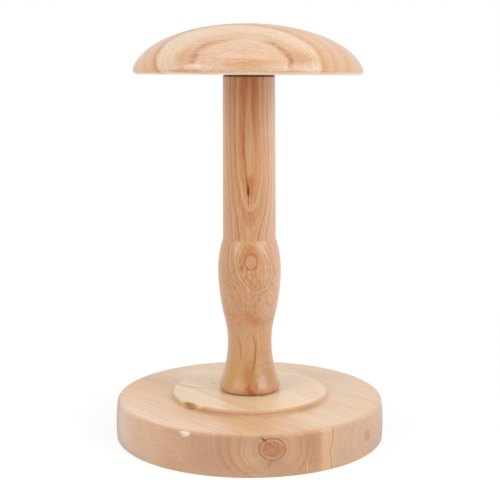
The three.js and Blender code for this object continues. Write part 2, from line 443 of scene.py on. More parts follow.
def pine_board(name, pith, rings, zones, heart, streaks, blots, hoops, seed):
    """Pine with its growth rings round a pith that runs along Y, in one of the base boards."""
    look = bpy.context.scene.hatstand_finish
    paint = Paint(name)
    lay, remap, times = paint.lay, paint.remap, paint.times
    point = paint.place()
    x, y, z = paint.split(point)
    rim_tones, top_tones, boss_tones = zones
    heart_radius, heart_strength, heart_dark, heart_pale = heart

    # The pith wanders along the board, but comes out at the front where the photograph shows it
    wander = remap(y, -85, -10, 0, 6)
    shift_x = paint.sway(paint.line_noise(y, 60, seed=seed), wander)
    shift_z = paint.sway(paint.line_noise(y, 60, seed=seed + 9), wander)
    off_x = paint.minus(x, pith[0], shift_x)
    off_z = paint.minus(z, pith[1], shift_z)
    distance = paint.reach(off_x, 0, off_z)
    uneven = paint.noise(point, (16, 90, 16), seed=seed + 3)
    distance = paint.add(distance, paint.sway(uneven, remap(distance, 4, 16, 0.5, 2)))

    # The rim, the top and the boss have their own plain colours, and their edges are darker. The boss's
    # side is painted shade, darker towards the front, and the rim's colours are partly painted sheen, paler
    # towards its left and right ends
    radius = paint.reach(x, y)
    on_rim = remap(radius, 97.6, 99.4)
    on_boss = times(remap(z, 31, 33), remap(radius, 59.5, 58.7))
    upper = remap(z, 20, 24)
    wall = times(remap(radius, 56.5, 57.8), remap(radius, 61.5, 59.3), upper)
    edge = remap(radius, 95.6, 97.6)
    flat = paint.minus(1, paint.most(wall, edge))
    _, away, _ = paint.split(paint.place(-VIEW_TURN))
    paint.tint = paint.tones(x, top_tones)
    lay(on_boss, paint.tones(x, boss_tones))
    lay(times(wall, remap(away, -10, -48, 0.3, 0.9)), look.boss_side_shade)
    lay(times(edge, upper, 0.65), look.pine_edge_and_painted_light)
    lay(on_rim, paint.tones(x, rim_tones))

    # Soft clouds, then late wood in strong rings on the rim and in fine lines on the top
    cloud = paint.noise(point, (22, 110, 18), seed=seed + 7)
    lay(remap(cloud, 0.45, 0.7, 0, 0.35), look.pine_warm)
    fibre = paint.noise(point, (0.9, 60, 0.9), 3, 0.65, seed + 1)
    broken = remap(paint.most(fibre, times(on_rim, 0.52)), 0.35, 0.6, 0.4, 1)
    ring = times(paint.tones(distance, rings), remap(on_rim, 0, 1, 0.3, 1))
    fine = remap(paint.line_noise(distance, 1.1, 2, 0.65, seed + 5), 0.5, 0.66)
    fine = times(fine, remap(on_rim, 0, 1, 0.22, 0.34))
    fine = times(fine, remap(distance, 34, 41, 1, 0.2))
    grain = remap(paint.line_noise(paint.add(x, shift_x), 1.2, 3, 0.7, seed + 4), 0.52, 0.66)
    grain = times(grain, flat, remap(on_boss, 0, 1, 0.4, 0.2))
    lay(times(paint.add(ring, paint.most(fine, grain)), broken), look.pine_late)

    # Fibres, which are weaker where the turning cuts across them
    plain = times(remap(flat, 0, 1, 0.45, 1), remap(on_boss, 0, 1, 1, 0.7))
    lay(times(remap(fibre, 0.52, 0.7, 0, 0.33), plain), look.pine_late)
    lay(times(remap(fibre, 0.32, 0.48, 0.24, 0), plain), look.pine)
    tubes = paint.noise(point, (0.8, 14, 2.4), 2, 0.6, seed + 8)
    lay(times(on_rim, remap(tubes, 0.5, 0.66, 0, 0.24)), look.pine_end)
    # Painted light: the rim is paler towards its bottom, where it lies in shade
    lay(times(on_rim, remap(z, 9, 1, 0, 0.34)), look.pine_edge_and_painted_light)

    # The heart of the tree shows as a flat, reddish, speckled disc on the rim
    speck = paint.noise(point, (0.9, 1.8, 0.9), 2, 0.6, seed + 2)
    from_heart = paint.reach(times(off_x, 0.93), 0, times(off_z, 1.06))
    from_heart = paint.math("MULTIPLY_ADD", speck, 0.8, from_heart)
    disc = remap(from_heart, heart_radius, heart_radius + 0.6, heart_strength, 0)
    lay(disc, paint.blend(remap(speck, 0.38, 0.62), heart_dark, heart_pale))

    # The glue joint is a thin wavering dark line on the rim
    beside = paint.math("ABSOLUTE", paint.minus(x, paint.curve(z, JOINT_WAVER)))
    lay(times(on_rim, remap(beside, 0.15, 0.6, 0.62, 0)), look.joint)
    paint.mark(point, streaks, blots, hoops)

    roughness = remap(fibre, 0.2, 0.8, 0.36, 0.5, smooth=False)
    return paint.finish(roughness, fibre, 0.05 * MM, **BASE_COAT)


# Where the glue joint's dark line runs on the rim: height and X in millimetres
JOINT_WAVER = [
    (0, -11.6), (3, -11.8), (12.8, -13), (19.6, -11.5), (28, -10.1), (34, -10.1),
]

# Where each board's pith comes out at the front: X and height
LEFT_PITH = (-53.3, 19.8)
RIGHT_PITH = (27, 15.5)

# Reddish heart in each board: radius in millimetres, strength, darker and paler colour
LEFT_HEART = (6, 0.9, (164, 98, 62), (196, 138, 98))
RIGHT_HEART = (4.6, 0.75, (182, 126, 96), (208, 156, 126))

# Late wood of the left board: distance from the pith in millimetres, and strength
LEFT_RINGS = [
    (0, 0.2), (6.6, 0.2), (7.1, 0.6), (7.7, 0.55), (8.2, 0.15), (9.4, 0.1), (10.6, 0.5),
    (11.8, 0.1), (14.6, 0.12), (15.6, 0.35), (16.6, 0.12), (17.9, 0.75), (19.4, 0.15), (21.2, 0.15),
    (22.9, 0.85), (24.6, 0.15), (25.4, 0.2), (26.8, 0.8), (28.8, 0.1), (35.4, 0.06), (36.9, 0.2),
    (37.8, 0.08), (39, 0.08), (40, 0.16), (41.2, 0.05), (60, 0.05),
]

# Late wood of the right board
RIGHT_RINGS = [
    (0, 0.1), (4, 0.1), (5, 0.3), (5.8, 0.1), (7.2, 0.1), (8, 0.35), (8.8, 0.1),
    (10.6, 0.1), (11.5, 0.35), (12.6, 0.12), (19, 0.1), (20.4, 0.3), (21.4, 0.1), (30, 0.12),
    (31.4, 0.3), (32.6, 0.1), (60, 0.1),
]

# Plain colours of each board by X in millimetres: on the rim, on the top and on the boss. Those on the rim
# grow paler towards its left and right ends, which is partly painted sheen
LEFT_ZONES = (
    [
        (-101, (214, 182, 158)), (-97, (196, 155, 125)), (-85, (190, 150, 120)),
        (-66, (192, 155, 124)), (-44, (186, 147, 117)), (-22.5, (190, 144, 115)),
        (-20.6, (202, 156, 124)), (-18.2, (217, 181, 146)), (-13, (214, 178, 143)),
    ],
    [
        (-101, (232, 202, 174)), (-75, (230, 196, 164)), (-56, (222, 184, 144)),
        (-34, (220, 180, 138)), (-20, (224, 188, 150)), (-12, (230, 202, 168)),
    ],
    [
        (-60, (232, 203, 169)), (-40, (236, 212, 179)), (-20, (236, 208, 172)),
        (-12, (238, 206, 170)),
    ],
)

RIGHT_ZONES = (
    [(-12, (205, 174, 147)), (20, (212, 180, 156)), (60, (220, 190, 170))],
    [(-12, (229, 202, 169)), (20, (226, 197, 164)), (60, (226, 197, 164))],
    [(-12, (238, 210, 174)), (10, (240, 214, 182)), (60, (240, 214, 184))],
)

# Streaks on the boards: start and end in millimetres, width, strength and colour
LEFT_STREAKS = [
    ((-59.2, -79.8, 28.2), (-56.4, -82.8, 24.6), 1.8, 0.95, (104, 58, 28)),
    ((-57, -82.2, 25.4), (-53.8, -85, 21), 1.2, 0.7, (142, 88, 54)),
    ((-54.2, -84.6, 12.4), (-56.4, -83.6, 6.4), 1.3, 0.5, (140, 92, 58)),
    ((-30.9, -95.6, 11), (-30.9, -95.6, 1), 0.8, 0.6, (236, 216, 190)),
    ((-58.5, -20, 30), (-58.5, -76, 30), 5, 0.4, (208, 160, 118)),
    ((-72, 54, 30), (-73.5, -62, 30), 1.8, 0.5, (204, 154, 118)),
    ((-86, 30, 30), (-87, -28, 30), 1.8, 0.5, (206, 156, 122)),
    ((-64, 62, 30), (-65, -16, 30), 1.4, 0.4, (204, 154, 118)),
    ((-47, -46, 30), (-49, -82, 30), 1.6, 0.5, (202, 150, 108)),
    ((-32, 47, 34), (-33.4, -46, 34), 1.6, 0.45, (206, 158, 120)),
    ((-34.8, 48, 34), (-28.2, 24, 34), 2, 0.75, (158, 98, 62)),
    ((-31.4, 36, 34), (-24, 18, 34), 1.4, 0.5, (184, 132, 96)),
    ((-11.9, 31.5, 34), (-11.9, 27, 34), 1.8, 0.8, (132, 88, 62)),
]

RIGHT_STREAKS = [
    ((31.5, -59, 30), (31.6, -68, 30), 2.2, 0.5, (190, 146, 108)),
    ((31.8, -70, 30), (31.9, -79, 30), 2.2, 0.5, (190, 146, 108)),
    ((49.2, -30, 30), (51.7, -84, 30), 1.8, 0.45, (206, 158, 122)),
    ((34, -46, 30), (37.9, -90, 30), 1.8, 0.4, (206, 158, 122)),
    ((-8, -20.5, 34), (-6.4, -22.6, 34), 1.8, 0.9, (140, 84, 50)),
    ((-6.6, -22.2, 34), (-5.4, -24.8, 34), 1.5, 0.85, (142, 86, 52)),
]

# Blots on the boards: centre, radii, roughness, softness, strength, colour, and the turn in degrees
# of those that are turned
LEFT_BLOTS = [
    ((-57, 10.5, 33.2), (2, 7.4, 2.2), 0.8, 0.5, 0.6, (236, 208, 152), (0, 0, -9)),
    ((-57.4, -10.6, 33.2), (1.8, 4, 1.8), 0.8, 0.5, 0.55, (236, 206, 154), (0, 0, 10)),
    ((-58, -0.6, 32.3), (3.4, 8, 3), 0.8, 0.3, 0.95, (188, 138, 78), (0, 0, 1)),
    ((-58.8, 5.6, 32.2), (2.2, 2.2, 1.6), 0.7, 0.4, 0.7, (218, 180, 118)),
    ((-59.4, -2.4, 30.8), (2, 4.4, 0.8), 0.6, 0.5, 0.7, (150, 98, 54)),
    ((-92, -38.3, 27.6), (2.5, 4.4, 2.7), 1.3, 0.4, 0.85, (232, 216, 200), (0, 0, 23)),
    # Painted shade: darker blots in and beside the bruise
    ((-92.5, -40.5, 27.6), (1.5, 1.4, 1), 0.8, 0.5, 0.75, (196, 168, 144), (0, 0, 23)),
    ((-93.4, -37, 26.8), (1.5, 1.6, 0.9), 0.9, 0.5, 0.75, (188, 160, 136), (0, 0, 23)),
    ((-91.4, -37.6, 29.2), (1.2, 1.2, 0.9), 0.9, 0.5, 0.65, (204, 176, 148), (0, 0, 23)),
    # Painted sheen: a large pale blot on the rim's far left, where it turns from view
    ((-94, 32, 14), (20, 34, 36), 0.3, 0.95, 0.75, (226, 202, 186)),
    ((-98.3, -16.3, 27.6), (1.4, 1.6, 1.6), 0.8, 0.5, 0.3, (240, 218, 196), (0, 0, 10)),
    ((-68, -74.2, 3.6), (1.2, 1.4, 0.8), 0.7, 0.5, 0.6, (140, 106, 74)),
]

# Painted sheen: a pale blot makes the right board's top paler towards its back
RIGHT_BLOTS = [((7, 72, 30), (26, 26, 4), 0.4, 0.9, 0.6, (238, 214, 186))]

# Hoops on the left board: the ring round its heart
LEFT_HOOPS = [((-53.3, -85, 19.8), (7.6, 400, 7.6), 0.2, 0.13, 0.55, (156, 98, 60))]

# Everything that tells one board's wood from the other's, with the seed of its noise
LEFT_LOOKS = (LEFT_PITH, LEFT_RINGS, LEFT_ZONES, LEFT_HEART, LEFT_STREAKS, LEFT_BLOTS, LEFT_HOOPS, 2.0)
RIGHT_LOOKS = (RIGHT_PITH, RIGHT_RINGS, RIGHT_ZONES, RIGHT_HEART, RIGHT_STREAKS, RIGHT_BLOTS, [], 14.0)


def column_wood(name):
    """Reddish wood whose growth rings are shells round a pith behind the column's front."""
    look = bpy.context.scene.hatstand_finish
    paint = Paint(name)
    lay, remap, times = paint.lay, paint.remap, paint.times
    point = paint.place(-VIEW_TURN)
    x, y, z = paint.split(point)

    # How far forward the rings lie, and how far to the side their pith lies, by height
    forward = paint.curve(z, COLUMN_FORWARD)
    aside = paint.minus(x, paint.curve(z, COLUMN_SIDEWAYS))
    distance = paint.reach(aside, paint.minus(y, COLUMN_PITH))
    wavy = paint.noise(point, (6, 6, 30), seed=3)
    wavy = paint.sway(wavy, remap(z, 110, 180, 1.2, 0.16))
    depth = paint.add(distance, -COLUMN_PITH, forward, wavy)

    # Plain tone, red flame above the eye and in the U below it, and the lines of the V
    paint.tint = paint.tones(depth, COLUMN_RINGS)
    lay(remap(z, 134, 116, 0, 0.8), (200, 152, 114))
    lay(remap(z, 94, 78, 0, 0.55), (209, 165, 120))
    # Painted sheen: the right side is paler from the waist up, and more so near the top
    paler = paint.add(remap(z, 70, 100, 0, 0.4), remap(z, 180, 236, 0, 0.3))
    lay(times(remap(x, 4, 14), paler), (232, 192, 166))
    above_eye = remap(z, 190, 224, 0.3, 1)
    below_eye = remap(z, 199, 193, 0, 0.8)
    patchy = remap(paint.noise(point, (2.2, 2.2, 26), seed=8), 0.3, 0.6, 0.6, 1)
    right_low = times(remap(x, 1, 4), remap(z, 262, 224, 0, 0.7))
    red = times(paint.tones(depth, COLUMN_FLAME), paint.most(above_eye, below_eye), patchy)
    lay(times(red, paint.minus(1, right_low)), look.column_red)
    lines = paint.tones(depth, COLUMN_LINES)
    lay(times(lines, remap(z, 147, 153)), look.column_dark)

    # Fibres, which lean across the belly on its left
    lean = times(remap(x, -16, 6, 0.6, 0), remap(z, 142, 124))
    leant = paint.join(paint.add(x, times(lean, paint.minus(z, 112))), y, z)
    fine = remap(paint.line_noise(depth, 0.6, 2, 0.6, 2), 0.48, 0.64)
    lay(times(fine, remap(z, 116, 130, 0.04, 0.2)), look.column_dark)
    fibre = paint.noise(leant, (0.55, 0.55, 26), 3, 0.7, 1)
    lay(remap(fibre, 0.5, 0.66, 0, 0.27), look.column_dark)
    lay(remap(fibre, 0.34, 0.48, 0.36, 0), look.column_pale)

    # Where the turning cuts across the fibres, their pores show as a net of short dashes
    across = times(remap(z, 72, 98), remap(z, 146, 120))
    pores = paint.noise(leant, (0.6, 0.6, 3.6), 2, 0.65, 4)
    share = paint.add(times(across, 0.3), remap(z, 74, 50, 0.16, 0.42))
    lay(times(remap(pores, 0.52, 0.62), share), (148, 88, 50))
    lay(times(remap(pores, 0.46, 0.36), across, 0.3), look.column_pale)

    # What is marked on the front stays off the back, and the loop fades out above the belly
    front = remap(y, 2, -4)
    low_front = times(front, remap(z, 149, 140))
    paint.mark(point, hoops=COLUMN_HOOPS, within=low_front)
    paint.mark(point, COLUMN_STREAKS, COLUMN_BLOTS, within=front)

    # Painted shade: the column's top is darkened where it meets the cap
    lay(remap(z, 267.2, 268.4, 0, 0.85), (92, 44, 26))

    roughness = remap(fibre, 0.2, 0.8, 0.32, 0.44, smooth=False)
    return paint.finish(roughness, fibre, 0.03 * MM, **COLUMN_COAT)


# How far behind the axis the pith of the column's rings lies, in millimetres
COLUMN_PITH = 29.0

# How far forward of the axis the column's rings lie, by height in millimetres
COLUMN_FORWARD = [
    (16, -16.7), (90, -8.7), (111, -7), (126.5, -5.6), (134, -5), (141, -4.3), (149.6, -3.2),
    (154, -3), (162.5, -2.5), (169.6, -2), (179, -1.2), (187, -0.84), (197.5, -0.32),
    (202, -0.2), (214, 0.01), (226, 0.03), (239, 0.03), (258, 0.09), (269, 0.12),
]

# How far to the side the pith of the rings lies: their crest lies on the other side
COLUMN_SIDEWAYS = [
    (16, 9), (66, 9), (84, 0), (100, -11), (111, -9.5), (117, -7), (125, -3.8),
    (134, -1.5), (141, -0.8), (148, 0.6), (155, 0.3), (171, -1.7), (187, -2.2), (200, -1.6),
    (225, -0.7), (240, 0), (269, -0.9),
]

# Growth rings of the column, by how far forward of the axis they lie, in millimetres
COLUMN_RINGS = [
    (-18, (206, 156, 114)), (0, (206, 154, 110)), (4.4, (208, 156, 110)), (5.2, (198, 142, 98)),
    (6, (206, 154, 112)), (9.8, (203, 151, 112)), (13.2, (206, 157, 118)),
    (14.2, (196, 146, 107)), (14.5, (214, 168, 128)), (15.2, (206, 156, 116)),
    (16, (202, 152, 110)), (16.2, (216, 168, 124)), (16.9, (206, 156, 112)),
    (17.3, (198, 144, 100)), (17.7, (205, 155, 112)), (18, (208, 160, 116)),
    (18.6, (204, 152, 108)), (19.15, (200, 144, 98)), (19.23, (207, 162, 116)),
    (20.5, (204, 161, 115)),
]

# Strength of the red flame round the pale core
COLUMN_FLAME = [
    (17.3, 0), (17.45, 0.6), (17.74, 0.3), (17.84, 0), (18.5, 0), (18.72, 0.75), (18.86, 0.5),
    (19, 0.9), (19.19, 0.85), (19.25, 0),
]

# Strength of the thin dark lines of the U and the V
COLUMN_LINES = [
    (14, 0), (14.1, 0.35), (14.4, 0), (15.78, 0), (15.98, 0.9), (16.14, 0.1), (17.66, 0),
    (17.76, 0.7), (17.84, 0), (18.3, 0), (18.4, 0.3), (18.5, 0),
]

# Streaks on the column, in the photograph's turn: x to its right, y away from it
COLUMN_STREAKS = [
    ((-3.7, -19.1, 219), (-2.8, -19.3, 198), 0.8, 0.85, (142, 80, 42)),
    ((-2.9, -19.3, 200), (-1.4, -19.5, 189), 1, 0.85, (140, 74, 36)),
    ((-1.2, -19.5, 191.4), (-0.9, -19.5, 181.8), 2.6, 1, (126, 50, 8)),
    ((-1, -19.5, 184), (-0.8, -19.6, 174), 1, 0.75, (146, 84, 46)),
    ((1, -19.5, 199), (1.2, -19.5, 183), 3.6, 0.55, (190, 110, 62)),
    ((-4.2, -15.8, 92), (2.4, -16.6, 80.6), 2.2, 0.45, (168, 106, 64)),
    ((1, -16.7, 83.6), (5.2, -15.6, 68), 2.2, 0.5, (166, 102, 58)),
    ((4.9, -15.7, 75), (3.6, -17, 57), 2.8, 0.6, (158, 94, 48)),
    ((4.3, -16.8, 64), (1.4, -18.9, 46), 3.2, 0.55, (160, 92, 46)),
    ((-10.4, -12.6, 86), (-6.8, -14.9, 71), 1.8, 0.35, (172, 110, 68)),
    ((-7, -14.9, 76), (-6.7, -16, 60), 2.2, 0.5, (170, 108, 64)),
    ((-6.5, -15.9, 66), (-9.2, -16.6, 52), 2, 0.4, (170, 108, 64)),
    ((-9.6, -17.6, 140), (-9.2, -18.4, 132), 0.8, 0.6, (150, 96, 62)),
    ((-15, -13, 147.5), (-15.4, -13.4, 142), 1, 0.6, (146, 92, 58)),
    ((-16.4, -15, 133), (-15.6, -16, 127), 1, 0.6, (142, 88, 54)),
    ((-4.6, -22.2, 126.6), (-4, -22.4, 121.6), 0.9, 0.8, (132, 82, 52)),
    ((-2.9, -22.6, 124.8), (-2.5, -22.8, 121), 0.7, 0.6, (140, 88, 56)),
    ((3, -23, 118.6), (3.2, -23, 115.4), 0.7, 0.6, (150, 98, 66)),
]

# Blots on the column, laid out as on the boards
COLUMN_BLOTS = [
    ((4, -17.6, 91), (12, 9, 9), 1.2, 0.9, 0.34, (196, 128, 90), (0, 20, 0)),
    ((-1.2, -18, 95), (6, 7, 4.2), 1.2, 0.9, 0.6, (188, 114, 72), (0, 32, 0)),
    ((3.4, -17.6, 91), (6, 7, 4.6), 1.2, 0.9, 0.6, (190, 118, 76), (0, 30, 0)),
    ((14, -12, 90), (4.6, 6, 4), 0.8, 0.8, 0.35, (200, 136, 104)),
    ((-15, -12, 106), (5, 9, 16), 0.6, 0.8, 0.35, (214, 170, 132), (0, -22, 0)),
    ((-13, -13, 48), (11, 12, 24), 0.6, 0.8, 0.75, (200, 154, 92)),
    ((0.2, -19, 46), (9, 10, 24), 0.7, 0.95, 0.72, (182, 118, 54), (0, -4, 0)),
    ((1, -20.6, 37), (7.6, 8, 8), 1.3, 0.95, 0.9, (168, 90, 34)),
    ((-0.8, -21, 42), (1.3, 6, 9), 1, 0.8, 0.4, (162, 90, 40), (0, -10, 0)),
    ((4.8, -21, 40), (1.2, 6, 6), 1, 0.8, 0.4, (170, 96, 46), (0, 12, 0)),
    ((-9, -20, 39), (2, 6, 6), 1, 0.8, 0.3, (180, 118, 66), (0, 6, 0)),
    # Painted light: paler blots at the foot's lower edge, left and right, lift the shade there
    ((-12, -18, 36.2), (8, 8, 3.2), 0.4, 0.7, 0.5, (224, 174, 122)),
    ((13, -18, 36.2), (7, 8, 3.2), 0.4, 0.7, 0.5, (222, 170, 122)),
    # Painted highlight: a paler, greyer blot where the right lamp shines on the foot
    ((9.4, -18, 44.4), (6, 8, 7.6), 0.5, 0.8, 0.6, (202, 166, 152)),
    # Painted highlight colour: greyer blots under the lamps' highlights on the belly's shoulder
    ((-7.9, -17, 146.4), (4, 8, 4.5), 0.5, 0.8, 0.5, (190, 152, 128)),
    ((8.8, -17, 146), (4.2, 8, 4.5), 0.5, 0.8, 0.6, (192, 156, 136)),
    ((17, -12, 48), (8, 10, 16), 0.6, 0.8, 0.6, (194, 138, 94)),
    ((1, -19.6, 170.5), (3.6, 4, 1.8), 0.6, 0.7, 0.6, (194, 116, 76)),
    ((1.3, -22.4, 140.7), (4.6, 6, 2.6), 0.8, 0.8, 0.7, (190, 116, 68)),
    ((1.2, -22.6, 134), (5.6, 6, 7.6), 0.5, 0.7, 0.35, (204, 140, 92)),
    ((1, -22.8, 135.4), (3.4, 6, 4.4), 0.5, 0.5, 0.8, (190, 150, 113)),
    ((-1.6, -23, 130.6), (1.8, 6, 1.5), 0.6, 0.7, 0.6, (182, 108, 64)),
    ((4.8, -22.8, 130.8), (2, 6, 1.5), 0.6, 0.7, 0.6, (182, 110, 66)),
    ((-2.2, -22.6, 139.4), (1.6, 6, 1.4), 0.6, 0.7, 0.5, (182, 112, 68)),
    ((4.2, -22.6, 139.4), (1.6, 6, 1.4), 0.6, 0.7, 0.5, (182, 112, 68)),
    ((2.2, -23, 126), (4, 6, 2.4), 0.6, 0.8, 0.4, (192, 130, 84)),
]

# Hoops on the column: the small oval on the belly, and the wide loop round it with its outline
COLUMN_HOOPS = [
    ((1, -22, 135.2), (4.5, 400, 5.7), 0.5, 0.28, 0.75, (176, 106, 62), (0, 3, 0)),
    ((2.7, -20, 131.4), (13.5, 400, 20), 0.2, 0.07, 0.45, (160, 102, 66), (0, -20, 0)),
    ((2.9, -20, 131), (12.8, 400, 19.2), 0.2, 0.07, 0.38, (232, 192, 154), (0, -20, 0)),
    ((2.7, -20, 131.4), (11.2, 400, 17.2), 0.24, 0.06, 0.25, (170, 112, 76), (0, -20, 0)),
]


def cap_wood(name):
    """Pale wood with its rings round a pith that runs across the view, under the cap."""
    look = bpy.context.scene.hatstand_finish
    paint = Paint(name)
    lay, remap, times = paint.lay, paint.remap, paint.times
    turned = paint.place(-VIEW_TURN)
    seen_x, seen_y, seen_z = paint.split(turned)
    point = paint.node("ShaderNodeMapping", turned, (0, 0, 0), (0, CAP_GRAIN_RISE, 0)).outputs[0]
    _, y, z = paint.split(point)
    distance = paint.reach(0, paint.minus(y, CAP_PITH[0]), paint.minus(z, CAP_PITH[1]))
    distance = paint.add(distance, paint.sway(paint.noise(point, (26, 10, 10), seed=6), 1.4))

    # Its inner rings spread out on the left
    spread = times(remap(seen_x, 18, -24), remap(distance, 86, 94, 0, 2))
    distance = paint.minus(distance, spread)

    # A dark ring edge that is strongest on the right and breaks up in the middle
    paint.tint = paint.tones(distance, CAP_RINGS)
    ragged = remap(paint.noise(turned, (7, 3, 1.1), 2, 0.6, 9), 0.4, 0.56, 0.3, 1)
    above_lip = remap(seen_z, 272, 280, 0.3, 1)
    edge = times(paint.tones(distance, CAP_EDGE), paint.curve(seen_x, CAP_EDGE_SHARE))
    lay(times(edge, ragged, above_lip), (158, 98, 58))
    line = times(paint.tones(distance, CAP_LINE), paint.curve(seen_x, CAP_LINE_SHARE))
    lay(line, (176, 120, 80))

    # Fine rings, fibres and pores
    fine = remap(paint.line_noise(distance, 1.3, 3, 0.65, 1), 0.48, 0.64)
    lay(times(fine, remap(distance, 86, 82, 0.16, 0.3)), look.cap_dark)
    fibre = paint.noise(point, (14, 0.75, 0.75), 3, 0.7, 2)
    lay(remap(fibre, 0.5, 0.66, 0, 0.36), look.cap_dark)
    lay(remap(fibre, 0.34, 0.48, 0.36, 0), look.cap_pale)
    pores = paint.noise(point, (7, 0.5, 0.5), 2, 0.65, 5)
    lay(remap(pores, 0.55, 0.65, 0, 0.28), (168, 110, 68))

    # A mottled figure on both sides of the middle
    mottle = remap(paint.noise(turned, (2.2, 1.4, 1.1), 2, 0.6, 12), 0.48, 0.58)
    for seed, (centre, radii) in enumerate(CAP_MOTTLES, 20):
        away = paint.lump(turned, centre, radii, 0.5, seed)
        lay(times(paint.blot(away, 0.7), mottle, 0.46), (182, 122, 76))
    paint.mark(turned, CAP_STREAKS, CAP_BLOTS)

    # Painted reflection: the lip's lower edge is painted pale where it faces the white floor, and hats have
    # rubbed the crown dull
    lay(remap(seen_z, 271.4, 270, 0, 0.6), (248, 226, 210))
    dull = remap(paint.reach(seen_x, seen_y), 66, 36, 0, 0.24)
    roughness = paint.add(remap(fibre, 0.2, 0.8, 0.32, 0.44, smooth=False), dull)
    return paint.finish(roughness, fibre, 0.03 * MM, **CAP_COAT)


# The cap's pith rises to the right at this angle, and lies at this Y and Z in its own turn
CAP_GRAIN_RISE = math.radians(8.03)
CAP_PITH = (8.6, 225.6)

# Growth rings of the cap, by their distance from the pith
CAP_RINGS = [
    (28, (208, 162, 122)), (60, (216, 175, 139)), (66, (208, 163, 125)),
    (72, (218, 181, 147)), (77, (208, 165, 131)), (79, (218, 179, 147)),
    (81.5, (211, 167, 131)), (83.2, (208, 162, 126)), (84, (204, 156, 118)),
    (85.8, (224, 195, 165)), (88.5, (225, 202, 174)), (91, (222, 191, 160)),
    (93, (218, 181, 147)), (95.6, (211, 168, 133)), (97.4, (218, 183, 154)),
    (100, (214, 179, 151)), (101.6, (208, 171, 139)), (102.6, (202, 157, 119)),
    (106, (200, 154, 114)),
]

# The thin dark line of its outer ring, and how strong it is across the view
CAP_LINE = [(83, 0), (83.8, 0.8), (84.5, 0)]
CAP_LINE_SHARE = [(-84, 0.9), (-50, 0.9), (-24, 0.3), (10, 0.1), (84, 0.15)]

# The dark edge of its strongest ring, by distance from the pith
CAP_EDGE = [(88, 0), (94, 0.07), (95, 0.25), (95.7, 0.8), (96.4, 0.85), (97.2, 0)]

# How strong this edge is from left to right across the view, in millimetres
CAP_EDGE_SHARE = [
    (-84, 0.4), (-40, 0.6), (-28, 0.7), (-12, 0.2), (4, 0.2), (14, 0.7), (26, 1),
    (40, 0.6), (84, 0.4),
]

# Centres and radii of its mottled figure, in the photograph's turn
CAP_MOTTLES = [
    ((38, -70, 281), (13, 12, 9)),
    ((-46, -65, 281), (8, 10, 9)),
    ((25, -76, 285), (8, 10, 6)),
]

# Streaks and blots on the cap, laid out as on the column
CAP_STREAKS = [
    ((-19, -70, 292), (-10, -71.5, 292.4), 1.2, 0.6, (160, 100, 60)),
    ((2, -71, 291.6), (13, -71, 290.8), 1.3, 0.65, (156, 96, 56)),
    ((-19, -81, 274.6), (-3, -82.6, 274.2), 1, 0.5, (176, 112, 66)),
    ((-24, -79, 279), (6, -81, 279.6), 1, 0.5, (190, 132, 90)),
]

CAP_BLOTS = [
    ((-8.5, -81, 276), (14, 9, 2.2), 0.7, 0.6, 0.55, (206, 148, 96), (0, 2, 0)),
    ((8, -80, 277.6), (17, 9, 2.4), 0.8, 0.8, 0.5, (204, 150, 104), (0, -2, 0)),
    ((-4, -80, 281.5), (26, 12, 2.8), 0.7, 0.8, 0.38, (230, 198, 168), (0, 2, 0)),
    ((0, -64, 292.8), (18, 12, 3.6), 0.6, 0.9, 0.55, (221, 191, 165)),
    ((36, -71, 281), (12, 12, 9), 0.6, 0.8, 0.55, (202, 151, 105), (0, 24, 0)),
    ((22, -75, 286), (10, 10, 5), 0.6, 0.8, 0.4, (198, 148, 104), (0, 40, 0)),
    ((-44, -66, 282), (9, 12, 9), 0.6, 0.8, 0.2, (206, 158, 116), (0, -24, 0)),
    # Painted highlight: a pale blot where the left lamp shines on the lip
    ((-36.5, -73, 275.2), (10, 9, 2.2), 0.5, 0.8, 0.5, (232, 212, 200)),
    ((-47, -70, 272.2), (18, 12, 1.6), 0.8, 0.8, 0.6, (188, 138, 98)),
    # Painted highlight colour: a greyer blot under the right lamp's highlight on the lip
    ((36, -74, 273.5), (15, 9, 3.2), 0.5, 0.8, 0.2, (206, 180, 160)),
]


def beech(name):
    """Plain beech with its grain along X, for the dowels in the glue joint."""
    paint = Paint(name)
    point = paint.place()
    fibre = paint.noise(point, (24, 0.5, 0.5), 3, 0.6, 1)
    flecks = paint.noise(point, (3, 0.35, 0.35), 1, 0.5, 2)
    paint.tint = bpy.context.scene.hatstand_finish.dowel
    paint.lay(paint.remap(fibre, 0.35, 0.7), (196, 156, 112))
    paint.lay(paint.remap(flecks, 0.62, 0.7, 0, 0.8), (150, 104, 68))
    return paint.finish(paint.remap(fibre, 0.2, 0.8, 0.6, 0.8), fibre, 0.05 * MM)


def plated_steel(name):
    """Dull plated steel with fine turning lines and a little tarnish."""
    paint = Paint(name)
    point = paint.place()
    lines = paint.noise(point, (0.8, 0.8, 0.12), 2, 0.6, 1)
    tarnish = paint.noise(point, (3, 3, 3), 3, 0.6, 2)
    paint.tint = bpy.context.scene.hatstand_finish.steel
    paint.lay(paint.remap(tarnish, 0.45, 0.75), (128, 120, 108))
    roughness = paint.add(paint.remap(lines, 0.2, 0.8, 0.22, 0.36), paint.remap(tarnish, 0.5, 0.8, 0, 0.2))
    return paint.finish(roughness, lines, 0.02 * MM, Metallic=1)


def arc(centre, radius, start, end, steps=ROUND_STEPS):
    """Points of a round in a profile from one angle to another, in degrees, both ends included."""
    angles = [math.radians(start + (end - start) * i / steps) for i in range(steps + 1)]
    return [(centre[0] + radius * math.cos(a), centre[1] + radius * math.sin(a)) for a in angles]


def parabola(peak, end):
    """The radius at a height, on a parabola that leaves its peak square and passes through its end."""
    return lambda z: peak[0] + (end[0] - peak[0]) * ((z - peak[1]) / (end[1] - peak[1])) ** 2


def sweep(start, end, radius_at, steps):
    """Points of a curve that gives the radius at each height."""
    heights = [start + (end - start) * i / steps for i in range(steps + 1)]
    return [(radius_at(z), z) for z in heights]


